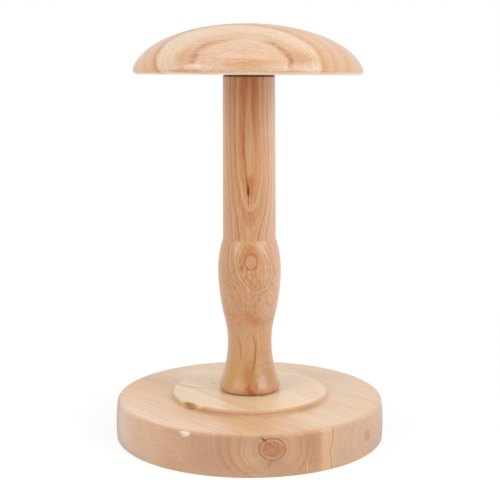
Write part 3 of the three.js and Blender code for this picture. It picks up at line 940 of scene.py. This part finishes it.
def span(start, end, steps):
    """Points on a straight line between two points of a profile, without the first."""
    return [
        (start[0] + (end[0] - start[0]) * i / steps, start[1] + (end[1] - start[1]) * i / steps)
        for i in range(1, steps + 1)
    ]


def new_object(name, data):
    """An object linked to the scene."""
    made = bpy.data.objects.new(name, data)
    bpy.context.scene.collection.objects.link(made)
    return made


def formed(name, form, place):
    """An object whose mesh is an edited form, put in its place."""
    form.transform(place)
    mesh = bpy.data.meshes.new(name)
    form.to_mesh(mesh)
    form.free()
    return new_object(name, mesh)


def block(centre, size):
    """A box, as a cutter."""
    form = bmesh.new()
    bmesh.ops.create_cube(form, size=1.0)
    return formed("block", form, Matrix.Translation(centre) @ Matrix.Diagonal((*size, 1.0)))


def turning_tree():
    """Geometry nodes that turn a profile about Z, with an optional thread and optional flutes."""
    if "Turning" in bpy.data.node_groups:
        return bpy.data.node_groups["Turning"]
    tree = bpy.data.node_groups.new("Turning", "GeometryNodeTree")
    face = tree.interface
    face.new_socket(name="Profile", in_out="INPUT", socket_type="NodeSocketGeometry")
    inputs = [
        ("Sides", "NodeSocketInt", 96),
        ("Thread Pitch", "NodeSocketFloat", 2.5 * MM),
        ("Thread Depth", "NodeSocketFloat", 0.0),
        ("Thread Start", "NodeSocketFloat", 0.0),
        ("Thread End", "NodeSocketFloat", 0.0),
        ("Flutes", "NodeSocketInt", 0),
        ("Flute Depth", "NodeSocketFloat", 0.0),
        ("Material", "NodeSocketMaterial", None),
    ]
    for name, kind, default in inputs:
        socket = face.new_socket(name=name, in_out="INPUT", socket_type=kind)
        if default is not None:
            socket.default_value = default
    face.new_socket(name="Piece", in_out="OUTPUT", socket_type="NodeSocketGeometry")

    graph = Graph(tree)
    given = graph.node("NodeGroupInput").outputs
    profile = given["Profile"]
    count = graph.node("GeometryNodeAttributeDomainSize", profile).outputs["Point Count"]
    columns = graph.add(given["Sides"], 1.0)
    grid = graph.node("GeometryNodeMeshGrid", 1.0, 1.0, columns, count).outputs["Mesh"]
    place = graph.node("GeometryNodeInputPosition").outputs[0]
    u, v, _ = graph.split(place)
    turn = graph.times(graph.add(u, 0.5), math.tau)
    row = graph.times(graph.add(v, 0.5), graph.minus(count, 1.0))
    sample = graph.node("GeometryNodeSampleIndex", data_type="FLOAT_VECTOR", domain="POINT")
    graph.feed(sample.inputs["Geometry"], profile)
    graph.feed(sample.inputs["Value"], place)
    graph.feed(sample.inputs["Index"], graph.math("ROUND", row))
    radius, _, height = graph.split(sample.outputs[0])

    # The thread's groove follows a helix between its start and its end
    turns = graph.math("DIVIDE", turn, math.tau)
    climb = graph.math("DIVIDE", height, given["Thread Pitch"])
    phase = graph.math("FRACT", graph.minus(climb, turns))
    groove = graph.math("ABSOLUTE", graph.math("MULTIPLY_ADD", phase, 2.0, -1.0))
    above = graph.math("GREATER_THAN", height, given["Thread Start"])
    below = graph.math("LESS_THAN", height, given["Thread End"])
    threaded = graph.times(groove, given["Thread Depth"], above, below)
    wave = graph.math("COSINE", graph.times(turn, given["Flutes"]))
    fluted = graph.times(graph.math("MULTIPLY_ADD", wave, 0.5, 0.5), given["Flute Depth"])
    cut = graph.most(graph.minus(radius, graph.add(threaded, fluted)), 0.0)

    placed = graph.join(
        graph.times(cut, graph.math("COSINE", turn)), graph.times(cut, graph.math("SINE", turn)), height
    )
    turned = graph.node("GeometryNodeSetPosition", grid, named={"Position": placed}).outputs[0]
    welded = graph.node("GeometryNodeMergeByDistance", turned, named={"Distance": WELD}).outputs[0]
    real = graph.node("GeometryNodeRealizeInstances", welded).outputs[0]
    painted = graph.node("GeometryNodeSetMaterial", real, named={"Material": given["Material"]})
    graph.node("NodeGroupOutput", painted.outputs[0])
    return tree


def turned_piece(name, profile, sides, material=None, **options):
    """A new object whose mesh is a profile of (radius, height) turned about Z."""
    mesh = bpy.data.meshes.new(name)
    edges = [(i, i + 1) for i in range(len(profile) - 1)]
    mesh.from_pydata([(r, 0.0, z) for r, z in profile], edges, [])
    piece = new_object(name, mesh)
    tree = turning_tree()
    modifier = piece.modifiers.new("Turning", "NODES")
    modifier.node_group = tree
    keys = {item.name: item.identifier for item in tree.interface.items_tree if item.in_out == "INPUT"}
    modifier[keys["Sides"]] = sides
    if material is not None:
        modifier[keys["Material"]] = material
    for option, value in options.items():
        modifier[keys[option.replace("_", " ").title()]] = value
    settle(piece)
    if not piece.data.polygons:
        raise RuntimeError(f"{name} came out of the turning tree without faces")
    return piece


def settle(piece):
    """Turns a piece's modifiers into plain mesh."""
    graph = bpy.context.evaluated_depsgraph_get()
    mesh = bpy.data.meshes.new_from_object(piece.evaluated_get(graph))
    piece.modifiers.clear()
    piece.data = mesh
    mesh.name = piece.name


def smooth(piece, past=SHARP_PAST):
    """Smooth shading, with edges past an angle in degrees left sharp."""
    piece.data.shade_smooth()
    piece.data.set_sharp_from_angle(angle=math.radians(past))


def cut(piece, cutter, operation="DIFFERENCE"):
    """Cuts one object by another, which is then removed."""
    modifier = piece.modifiers.new("Cut", "BOOLEAN")
    modifier.operation = operation
    modifier.solver = "EXACT"
    modifier.object = cutter
    settle(piece)
    bpy.data.objects.remove(cutter)


def bar(radius, low, high, sides=BORE_SIDES):
    """A plain round bar on Z, as a cutter."""
    return turned_piece("bar", [(0, low), (radius, low), (radius, high), (0, high)], sides)


def set_over(piece, low, high, low_shift, high_shift, tilt=0.0):
    """Sets a turned piece off its axis, across the photograph's view, with its left side up by a tilt.
    Its bore stays on the axis, so that the screw in it does too."""
    across = Vector((math.cos(VIEW_TURN), math.sin(VIEW_TURN), 0))
    for vertex in piece.data.vertices:
        place = vertex.co
        free = min(max(math.hypot(place.x, place.y) / BORE_EDGE - 1, 0), 1)
        side = place.dot(across)
        height = (place.z - low) / (high - low)
        shift = low_shift + (high_shift - low_shift) * height
        lift = -math.tan(tilt) * side
        vertex.co = place + free * (across * shift + Vector((0, 0, lift)))


def lie_across(piece, y, z):
    """Lays a piece made about Z down along X, across the glue joint."""
    piece.data.transform(Matrix.Translation((JOINT_X, y, z)) @ Matrix.Rotation(math.pi / 2, 4, "Y"))


def base_profile(sizes):
    """The whole base in section: underside, rim, rounded edge, top, fillet and boss."""
    rim_top = sizes.thickness - sizes.edge_round
    rim_radius = parabola((sizes.radius, sizes.rim_widest), (sizes.radius - sizes.rim_inset, rim_top))
    rim = sweep(sizes.foot_chamfer, rim_top, rim_radius, steps=20)
    low_edge = rim[0][0] - sizes.foot_chamfer
    shoulder = (rim_radius(rim_top) - sizes.edge_round, rim_top)
    edge = arc(shoulder, sizes.edge_round, 0, 90)
    root = (sizes.boss_radius + sizes.boss_fillet, sizes.thickness + sizes.boss_fillet)
    fillet = arc(root, sizes.boss_fillet, 270, 180, steps=8)
    crown = (sizes.boss_radius - sizes.boss_round, BOSS_TOP - sizes.boss_round)
    boss = arc(crown, sizes.boss_round, 0, 90)
    return [
        (0, 0),
        *span((0, 0), (low_edge, 0), steps=6),
        *rim,
        *edge[1:],
        *span(edge[-1], fillet[0], steps=8),
        *fillet[1:],
        *boss,
        *span(boss[-1], (0, BOSS_TOP), steps=6),
    ]


def dent(centre, half_sizes, turn, seed):
    """A rough lump that cuts a chip or a bruise, its sizes in millimetres along and across its turn."""
    form = bmesh.new()
    bmesh.ops.create_icosphere(form, subdivisions=4, radius=1.0)
    for vertex in form.verts:
        rough = noise.fractal(vertex.co * DENT_LUMPS + Vector((seed, 0, 0)), 0.9, 2.0, 3)
        vertex.co *= 1 + DENT_ROUGHNESS * rough
    scale = Matrix.Diagonal((*[size * MM for size in half_sizes], 1.0))
    spin = Matrix.Rotation(math.radians(turn), 4, "Z")
    return formed("dent", form, Matrix.Translation([value * MM for value in centre]) @ spin @ scale)


# How many lumps a dent has across it, and how deep they are as a share of its size
DENT_LUMPS = 1.6
DENT_ROUGHNESS = 0.22

# Chips and bruises: centre, half sizes along the radius, round the rim and upwards, turn, seed
BASE_DENTS = [
    ((-59.6, -0.8, 32.6), (2.2, 7.6, 1.9), 178, 1),
    ((-92.6, -39.6, 29.2), (1.6, 3.6, 1.7), 203, 2),
    ((-98.7, -17.2, 28.6), (1.2, 2, 1.5), 190, 3),
]


def half_of(whole, side, name):
    """One board of the base: the disc cut at the glue joint. Side is -1 left or 1 right."""
    board = new_object(name, whole.data.copy())
    reach = 2 * BASE_RADIUS
    cut(board, block((JOINT_X + side * reach / 2, 0, 0), (reach, reach, reach)), "INTERSECT")
    return board


def ease_joint(board, width):
    """A tiny bevel where the joint face meets the outside, so that the joint shows as a fine line."""
    form = bmesh.new()
    form.from_mesh(board.data)
    edges = []
    for edge in form.edges:
        if len(edge.link_faces) != 2 or any(abs(v.co.x - JOINT_X) > TOUCHING for v in edge.verts):
            continue
        middle = (edge.verts[0].co + edge.verts[1].co) / 2
        outside = math.hypot(middle.x, middle.y) > PAST_BORES
        if outside and any(abs(face.normal.x) < 0.9 for face in edge.link_faces):
            edges.append(edge)
    bmesh.ops.bevel(form, geom=edges, offset=width, segments=1, affect="EDGES", clamp_overlap=True)
    form.to_mesh(board.data)
    form.free()


class HATSTAND_OT_base(bpy.types.Operator):
    """Turns the base, drills it, chips it and parts it at the glue joint into its two boards"""

    bl_idname = "hatstand.base"
    bl_label = "Base Boards"

    def execute(self, context):
        sizes = context.scene.hatstand_base
        fits = context.scene.hatstand_fasteners
        column = context.scene.hatstand_column
        whole = turned_piece("whole_base", base_profile(sizes), BASE_SIDES)
        below, above = -DRILL_PAST, BOSS_TOP + DRILL_PAST
        socket_floor = BOSS_TOP - column.tenon_length - fits.end_clearance
        cut(whole, bar(column.tenon_radius + fits.clearance, socket_floor, above))
        cut(whole, bar(fits.screw_radius + fits.clearance, below, above, SMALL_BORE_SIDES))
        cut(whole, bar(fits.counterbore_radius, below, fits.counterbore_depth))
        for side in (-1, 1):
            half = fits.dowel_length / 2 + fits.end_clearance
            hole = bar(fits.dowel_radius + fits.clearance, -half, half, SMALL_BORE_SIDES)
            lie_across(hole, side * fits.dowel_spacing / 2, sizes.thickness / 2)
            cut(whole, hole)
        for form in BASE_DENTS:
            cut(whole, dent(*form))
        boards = (
            ("pine_board_left", "base_board_left", -1, LEFT_LOOKS),
            ("pine_board_right", "base_board_right", 1, RIGHT_LOOKS),
        )
        for name, node, side, looks in boards:
            board = half_of(whole, side, name)
            ease_joint(board, sizes.joint_groove)
            board.data.materials.clear()
            board.data.materials.append(pine_board(name, *looks))
            smooth(board)
            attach(board, BODY)
            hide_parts(node)
        bpy.data.objects.remove(whole)
        return {"FINISHED"}


def column_profile(sizes, fits):
    """The column in section, from the end of its lower bore round the outside to its upper bore."""
    base = BOSS_TOP
    waist = (sizes.waist_radius, base + sizes.waist_height)
    heel = (sizes.foot_radius - sizes.foot_round, base + sizes.foot_round)

    # The foot's round ends where its slope is that of the waist's curve, found by closing in on it
    turn = 0.0
    for _ in range(20):
        edge = arc(heel, sizes.foot_round, turn, turn, steps=1)[0]
        turn = math.degrees(math.atan(2 * (edge[0] - waist[0]) / (waist[1] - edge[1])))

    belly = (sizes.belly_radius, base + sizes.belly_height)
    shoulder = (sizes.shoulder_radius, base + sizes.shoulder_height)
    share = (sizes.bend_height - sizes.waist_height) / (sizes.belly_height - sizes.waist_height)
    bend_radius = sizes.waist_radius + (sizes.belly_radius - sizes.waist_radius) * share
    bend = (bend_radius, base + sizes.bend_height)
    washer_face = fits.counterbore_depth - fits.washer_thickness
    lower_bore = fits.screw_radius + fits.clearance
    lower_end = washer_face + fits.screw_length + fits.end_clearance
    upper_bore = fits.cap_screw_radius + fits.clearance
    upper_end = COLUMN_TOP - fits.cap_screw_length / 2 - fits.end_clearance
    tenon_end = base - sizes.tenon_length
    top = (sizes.top_radius - sizes.top_round, COLUMN_TOP - sizes.top_round)
    crown = arc(top, sizes.top_round, 0, 90, steps=8)
    return [
        (0, lower_end),
        (lower_bore, lower_end),
        (lower_bore, tenon_end),
        (sizes.tenon_radius - sizes.tenon_chamfer, tenon_end),
        (sizes.tenon_radius, tenon_end + sizes.tenon_chamfer),
        (sizes.tenon_radius, base),
        *arc(heel, sizes.foot_round, -90, turn),
        *sweep(edge[1], waist[1], parabola(waist, edge), steps=28)[1:],
        *sweep(waist[1], bend[1], parabola(waist, bend), steps=14)[1:],
        *sweep(bend[1], belly[1], parabola(belly, bend), steps=24)[1:],
        *sweep(belly[1], shoulder[1], parabola(belly, shoulder), steps=20)[1:],
        *span(shoulder, crown[0], steps=12),
        *crown[1:],
        (upper_bore, COLUMN_TOP),
        (upper_bore, upper_end),
        (0, upper_end),
    ]


class HATSTAND_OT_column(bpy.types.Operator):
    """Turns the column, with its tenon and the bores for its screws"""

    bl_idname = "hatstand.column"
    bl_label = "Column"

    def execute(self, context):
        sizes = context.scene.hatstand_column
        profile = column_profile(sizes, context.scene.hatstand_fasteners)
        piece = turned_piece("turned_column", profile, COLUMN_SIDES, column_wood("turned_column"))
        set_over(piece, BOSS_TOP, COLUMN_TOP, sizes.foot_shift, sizes.top_shift)
        raised = context.scene.hatstand_cap.raised
        for vertex in piece.data.vertices:
            vertex.co.z += raised * max(vertex.co.z - COLUMN_TOP + RAISED_OVER, 0) / RAISED_OVER
        smooth(piece, COLUMN_SHARP_PAST)
        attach(piece, BODY)
        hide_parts("column")
        return {"FINISHED"}


def cap_profile(sizes, fits):
    """The cap in section: screw bore, flat underside, rounded lip and elliptic dome."""
    centre = COLUMN_TOP - sizes.centre_drop
    rise = STAND_TOP - centre
    lip_top = COLUMN_TOP + sizes.lip_round
    lip_angle = math.asin((lip_top - centre) / rise)
    bore = fits.cap_screw_radius + fits.clearance
    bore_end = COLUMN_TOP + fits.cap_screw_length / 2 + fits.end_clearance
    steps = 44
    angles = [lip_angle + (math.pi / 2 - lip_angle) * i / steps for i in range(steps)]
    dome = [(sizes.radius * math.cos(a), centre + rise * math.sin(a)) for a in angles]
    lip = arc((dome[0][0] - sizes.lip_round, lip_top), sizes.lip_round, 270, 360)
    return [
        (0, bore_end),
        (bore, bore_end),
        (bore, COLUMN_TOP),
        *span((bore, COLUMN_TOP), lip[0], steps=8),
        *lip[1:],
        *dome[1:],
        (0, STAND_TOP),
    ]


class HATSTAND_OT_cap(bpy.types.Operator):
    """Turns the domed cap"""

    bl_idname = "hatstand.cap"
    bl_label = "Cap"

    def execute(self, context):
        sizes = context.scene.hatstand_cap
        profile = cap_profile(sizes, context.scene.hatstand_fasteners)
        piece = turned_piece("turned_cap", profile, CAP_SIDES, cap_wood("turned_cap"))
        top_shift = sizes.lip_shift + sizes.top_shift
        set_over(piece, COLUMN_TOP, STAND_TOP, sizes.lip_shift, top_shift, sizes.tilt)
        stretch = 1 + sizes.crown_raise / (STAND_TOP - COLUMN_TOP)
        for vertex in piece.data.vertices:
            vertex.co.z = COLUMN_TOP + sizes.raised + (vertex.co.z - COLUMN_TOP) * stretch
        smooth(piece, CAP_SHARP_PAST)
        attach(piece, BODY)
        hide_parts("cap")
        return {"FINISHED"}


class HATSTAND_OT_screws(bpy.types.Operator):
    """Makes the slotted base screw, its washer and the double-ended screw under the cap"""

    bl_idname = "hatstand.screws"
    bl_label = "Screws and Washer"

    def execute(self, context):
        sizes = context.scene.hatstand_fasteners
        steel = plated_steel("plated_steel")
        pieces = {
            "base_screw": self.base_screw(sizes, steel),
            "base_washer": self.washer(sizes, steel),
            "cap_dowel_screw": self.cap_screw(sizes, steel),
        }
        for node, piece in pieces.items():
            smooth(piece)
            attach(piece, BODY)
            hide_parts(node)
        return {"FINISHED"}

    def threaded(self, name, profile, steel, start, end, sizes):
        """A screw turned from its profile, with a thread from start to end."""
        thread = {
            "thread_pitch": sizes.pitch,
            "thread_depth": sizes.thread_depth,
            "thread_start": start,
            "thread_end": end,
        }
        return turned_piece(name, profile, SCREW_SIDES, steel, **thread)

    def shank(self, start, end, radius, sizes):
        """Close points up the threaded length."""
        return span((radius, start), (radius, end), round((end - start) / sizes.pitch * PITCH_STEPS))

    def base_screw(self, sizes, steel):
        radius = sizes.screw_radius
        face = sizes.counterbore_depth - sizes.washer_thickness
        tip = face + sizes.screw_length
        point = tip - sizes.point_length
        plain = face + sizes.screw_plain
        angles = [math.pi / 2 * i / ROUND_STEPS for i in range(ROUND_STEPS + 1)]
        profile = [
            *[(sizes.head_radius * math.sin(a), face - sizes.head_height * math.cos(a)) for a in angles],
            (radius, face),
            (radius, plain),
            *self.shank(plain, point, radius, sizes),
            *span((radius, point), (0, tip), POINT_STEPS),
        ]
        screw = self.threaded("round_head_screw", profile, steel, plain, tip, sizes)
        slot_size = (4 * sizes.head_radius, sizes.slot_width, 2 * sizes.slot_depth)
        cut(screw, block((0, 0, face - sizes.head_height), slot_size))
        return screw

    def washer(self, sizes, steel):
        low = sizes.counterbore_depth - sizes.washer_thickness
        high = sizes.counterbore_depth
        hole = sizes.screw_radius + sizes.clearance
        rim = sizes.washer_radius
        ease = sizes.washer_thickness / 8
        profile = [
            (hole, low + ease),
            (hole + ease, low),
            (rim - ease, low),
            (rim, low + ease),
            (rim, high - ease),
            (rim - ease, high),
            (hole + ease, high),
            (hole, high - ease),
            (hole, low + ease),
        ]
        return turned_piece("flat_washer", profile, WASHER_SIDES, steel)

    def cap_screw(self, sizes, steel):
        radius = sizes.cap_screw_radius
        low = COLUMN_TOP - sizes.cap_screw_length / 2
        high = COLUMN_TOP + sizes.cap_screw_length / 2
        thread_low, thread_high = low + sizes.point_length, high - sizes.point_length
        profile = [
            (0, low),
            *span((0, low), (radius, thread_low), POINT_STEPS),
            *self.shank(thread_low, thread_high, radius, sizes),
            *span((radius, thread_high), (0, high), POINT_STEPS),
        ]
        return self.threaded("double_ended_screw", profile, steel, low, high, sizes)


class HATSTAND_OT_dowels(bpy.types.Operator):
    """Makes the two fluted dowels across the glue joint"""

    bl_idname = "hatstand.dowels"
    bl_label = "Joint Dowels"

    def execute(self, context):
        sizes = context.scene.hatstand_fasteners
        half, radius, chamfer = sizes.dowel_length / 2, sizes.dowel_radius, sizes.dowel_chamfer
        profile = [
            (0, -half),
            (radius - chamfer, -half),
            (radius, chamfer - half),
            (radius, half - chamfer),
            (radius - chamfer, half),
            (0, half),
        ]
        wood = beech("fluted_beech")
        sides = SIDES_PER_FLUTE * sizes.flutes
        flutes = {"flutes": sizes.flutes, "flute_depth": sizes.flute_depth}
        for node, side in (("board_dowel_front", -1), ("board_dowel_back", 1)):
            name = node.replace("board", "fluted")
            dowel = turned_piece(name, profile, sides, wood, **flutes)
            lie_across(dowel, side * sizes.dowel_spacing / 2, context.scene.hatstand_base.thickness / 2)
            smooth(dowel)
            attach(dowel, BODY)
            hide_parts(node)
        return {"FINISHED"}


# The camera as the photograph has it, measured from the outline of base, column and cap
CAMERA_DISTANCE = 0.825
CAMERA_HEIGHT = 0.2692
CAMERA_PITCH = math.radians(8.9)
CAMERA_LENS = 80.7
SENSOR_WIDTH = 36.0
PHOTO_WIDTH = 500
AXIS_PIXEL = 249.62
HORIZON_PIXEL = 250.6

# Lamps: turn to the right of the camera and height in degrees, distance, width, height, radiance
LAMPS = {
    "softbox_right": (53, 30, 1.6, 1.0, 1.0, 3.5),
    "softbox_left": (-53, 30, 1.6, 0.7, 0.94, 3.6),
    "overhead": (0, 80, 1.6, 1.2, 1.2, 0.9),
}
AIM = Vector((0, 0, 0.15))

# Light from all round, and how bright glossy surfaces find the room in front of the stand
SURROUND_LIGHT = 0.62
DARK_FRONT = 0.1

# The floor: its radius, the strength of its white, and the distances in millimetres over which
# its shadow fades into this white
FLOOR_RADIUS = 6.0
FLOOR_GLOW = 1.06
FLOOR_FADE = (250, 900)
WHITE = (1, 1, 1, 1)

# Room between the floor and the underside of the stand
FLOOR_GAP = 0.1 * MM


class HATSTAND_OT_stage(bpy.types.Operator):
    """Sets up the floor, the soft studio light and the camera"""

    bl_idname = "hatstand.stage"
    bl_label = "Stage"

    def execute(self, context):
        scene = context.scene
        scene.view_settings.view_transform = "Standard"
        self.floor(scene.hatstand_finish)
        self.world(scene)
        for name, lamp in LAMPS.items():
            self.lamp(name, *lamp)
        self.camera(scene)
        return {"FINISHED"}

    def floor(self, look):
        form = bmesh.new()
        bmesh.ops.create_circle(form, cap_ends=True, segments=FLOOR_SIDES, radius=FLOOR_RADIUS)
        for face in form.faces:
            face.normal_update()
            if face.normal.z < 0:
                face.normal_flip()
        floor = formed("floor", form, Matrix.Translation((0, 0, -FLOOR_GAP)))
        paint = Paint("floor")
        cloud = paint.noise(paint.place(), (900, 900, 900), 1, 0.5, 1)
        paint.tint = look.floor
        paint.lay(paint.remap(cloud, 0.3, 0.7, 0, 0.15), (238, 238, 238))
        lit = paint.node("ShaderNodeBsdfDiffuse", paint.tint).outputs[0]
        glow = paint.node("ShaderNodeEmission", WHITE, FLOOR_GLOW).outputs[0]
        path = paint.node("ShaderNodeLightPath").outputs
        seen = paint.most(path["Is Camera Ray"], path["Is Glossy Ray"])
        x, y, _ = paint.split(paint.place(-VIEW_TURN))
        far = paint.remap(paint.reach(x, y), *FLOOR_FADE, 0.72, 1)
        mixed = paint.node("ShaderNodeMixShader", paint.times(seen, far), lit, glow).outputs[0]
        shade = paint.node("ShaderNodeEmission", WHITE, DARK_FRONT).outputs[0]
        front = paint.times(path["Is Glossy Ray"], paint.remap(y, 300, -300))
        mixed = paint.node("ShaderNodeMixShader", front, mixed, shade).outputs[0]

        # From below the floor is clear and lets light up to the stand's underside, so that it can be seen
        below = paint.node("ShaderNodeNewGeometry").outputs["Backfacing"]
        close = paint.math("LESS_THAN", path["Ray Length"], 4 * FLOOR_GAP)
        clear = paint.node("ShaderNodeBsdfTransparent").outputs[0]
        mixed = paint.node("ShaderNodeMixShader", paint.most(below, close), mixed, clear).outputs[0]
        paint.node("ShaderNodeOutputMaterial", mixed)
        floor.data.materials.append(paint.material)

    def world(self, scene):
        world = bpy.data.worlds.new("studio")
        world.use_nodes = True
        scene.world = world
        graph = Graph(world.node_tree)
        path = graph.node("ShaderNodeLightPath").outputs
        toward = graph.node("ShaderNodeTexCoord").outputs["Generated"]
        behind = graph.vector("DOT_PRODUCT", toward, (-math.sin(VIEW_TURN), math.cos(VIEW_TURN), 0))
        room = graph.times(path["Is Glossy Ray"], graph.remap(behind, -0.2, 0.5, DARK_FRONT, 1.0))
        seen = graph.most(path["Is Camera Ray"], path["Is Transmission Ray"], room)
        unlit = graph.most(seen, path["Is Glossy Ray"])
        strength = graph.add(seen, graph.times(graph.minus(1.0, unlit), SURROUND_LIGHT))
        light = graph.node("ShaderNodeBackground", WHITE, strength).outputs[0]
        graph.node("ShaderNodeOutputWorld", light)

    def lamp(self, name, turn, rise, distance, width, height, radiance):
        data = bpy.data.lights.new(name, "AREA")
        data.shape = "RECTANGLE"
        data.size = width
        data.size_y = height
        data.energy = radiance * math.pi * width * height
        lamp = new_object(name, data)
        around = VIEW_TURN + math.radians(turn)
        up = math.radians(rise)
        back = Vector((math.sin(around) * math.cos(up), -math.cos(around) * math.cos(up), math.sin(up)))
        lamp.location = AIM + back * distance
        lamp.rotation_mode = "QUATERNION"
        lamp.rotation_quaternion = back.to_track_quat("Z", "Y")

    def camera(self, scene):
        data = bpy.data.cameras.new("camera")
        data.sensor_width = SENSOR_WIDTH
        data.lens = CAMERA_LENS
        data.shift_x = (PHOTO_WIDTH / 2 - AXIS_PIXEL) / PHOTO_WIDTH
        data.shift_y = (HORIZON_PIXEL - PHOTO_WIDTH / 2) / PHOTO_WIDTH
        data.clip_start = 0.01
        camera = new_object("camera", data)
        back = Vector((math.sin(VIEW_TURN), -math.cos(VIEW_TURN), 0))
        camera.location = back * CAMERA_DISTANCE + Vector((0, 0, CAMERA_HEIGHT))
        camera.rotation_euler = (math.pi / 2 - CAMERA_PITCH, 0, VIEW_TURN)
        scene.camera = camera


class HATSTAND_PT_panel(bpy.types.Panel):
    """Lists the stand's sizes and the steps that build it"""

    bl_idname = "HATSTAND_PT_panel"
    bl_label = "Hat Stand"
    bl_space_type = "VIEW_3D"
    bl_region_type = "UI"
    bl_category = "Hat Stand"

    def draw(self, context):
        for name in SETTINGS:
            group = getattr(context.scene, name)
            box = self.layout.box()
            for key in group.__annotations__:
                box.prop(group, key)
        for operator in OPERATORS:
            self.layout.operator(operator.bl_idname)


OPERATORS = (
    HATSTAND_OT_base,
    HATSTAND_OT_column,
    HATSTAND_OT_cap,
    HATSTAND_OT_screws,
    HATSTAND_OT_dowels,
    HATSTAND_OT_stage,
)


def register():
    for group in SETTINGS.values():
        bpy.utils.register_class(group)
    for name, group in SETTINGS.items():
        setattr(bpy.types.Scene, name, PointerProperty(type=group))
    for operator in OPERATORS:
        bpy.utils.register_class(operator)
    bpy.utils.register_class(HATSTAND_PT_panel)


def unregister():
    bpy.utils.unregister_class(HATSTAND_PT_panel)
    for operator in reversed(OPERATORS):
        bpy.utils.unregister_class(operator)
    for name in SETTINGS:
        delattr(bpy.types.Scene, name)
    for group in reversed(SETTINGS.values()):
        bpy.utils.unregister_class(group)


def main():
    register()
    bpy.ops.hatstand.base()
    bpy.ops.hatstand.column()
    bpy.ops.hatstand.cap()
    bpy.ops.hatstand.screws()
    bpy.ops.hatstand.dowels()
    bpy.ops.hatstand.stage()


if __name__ == "__main__":
    main()
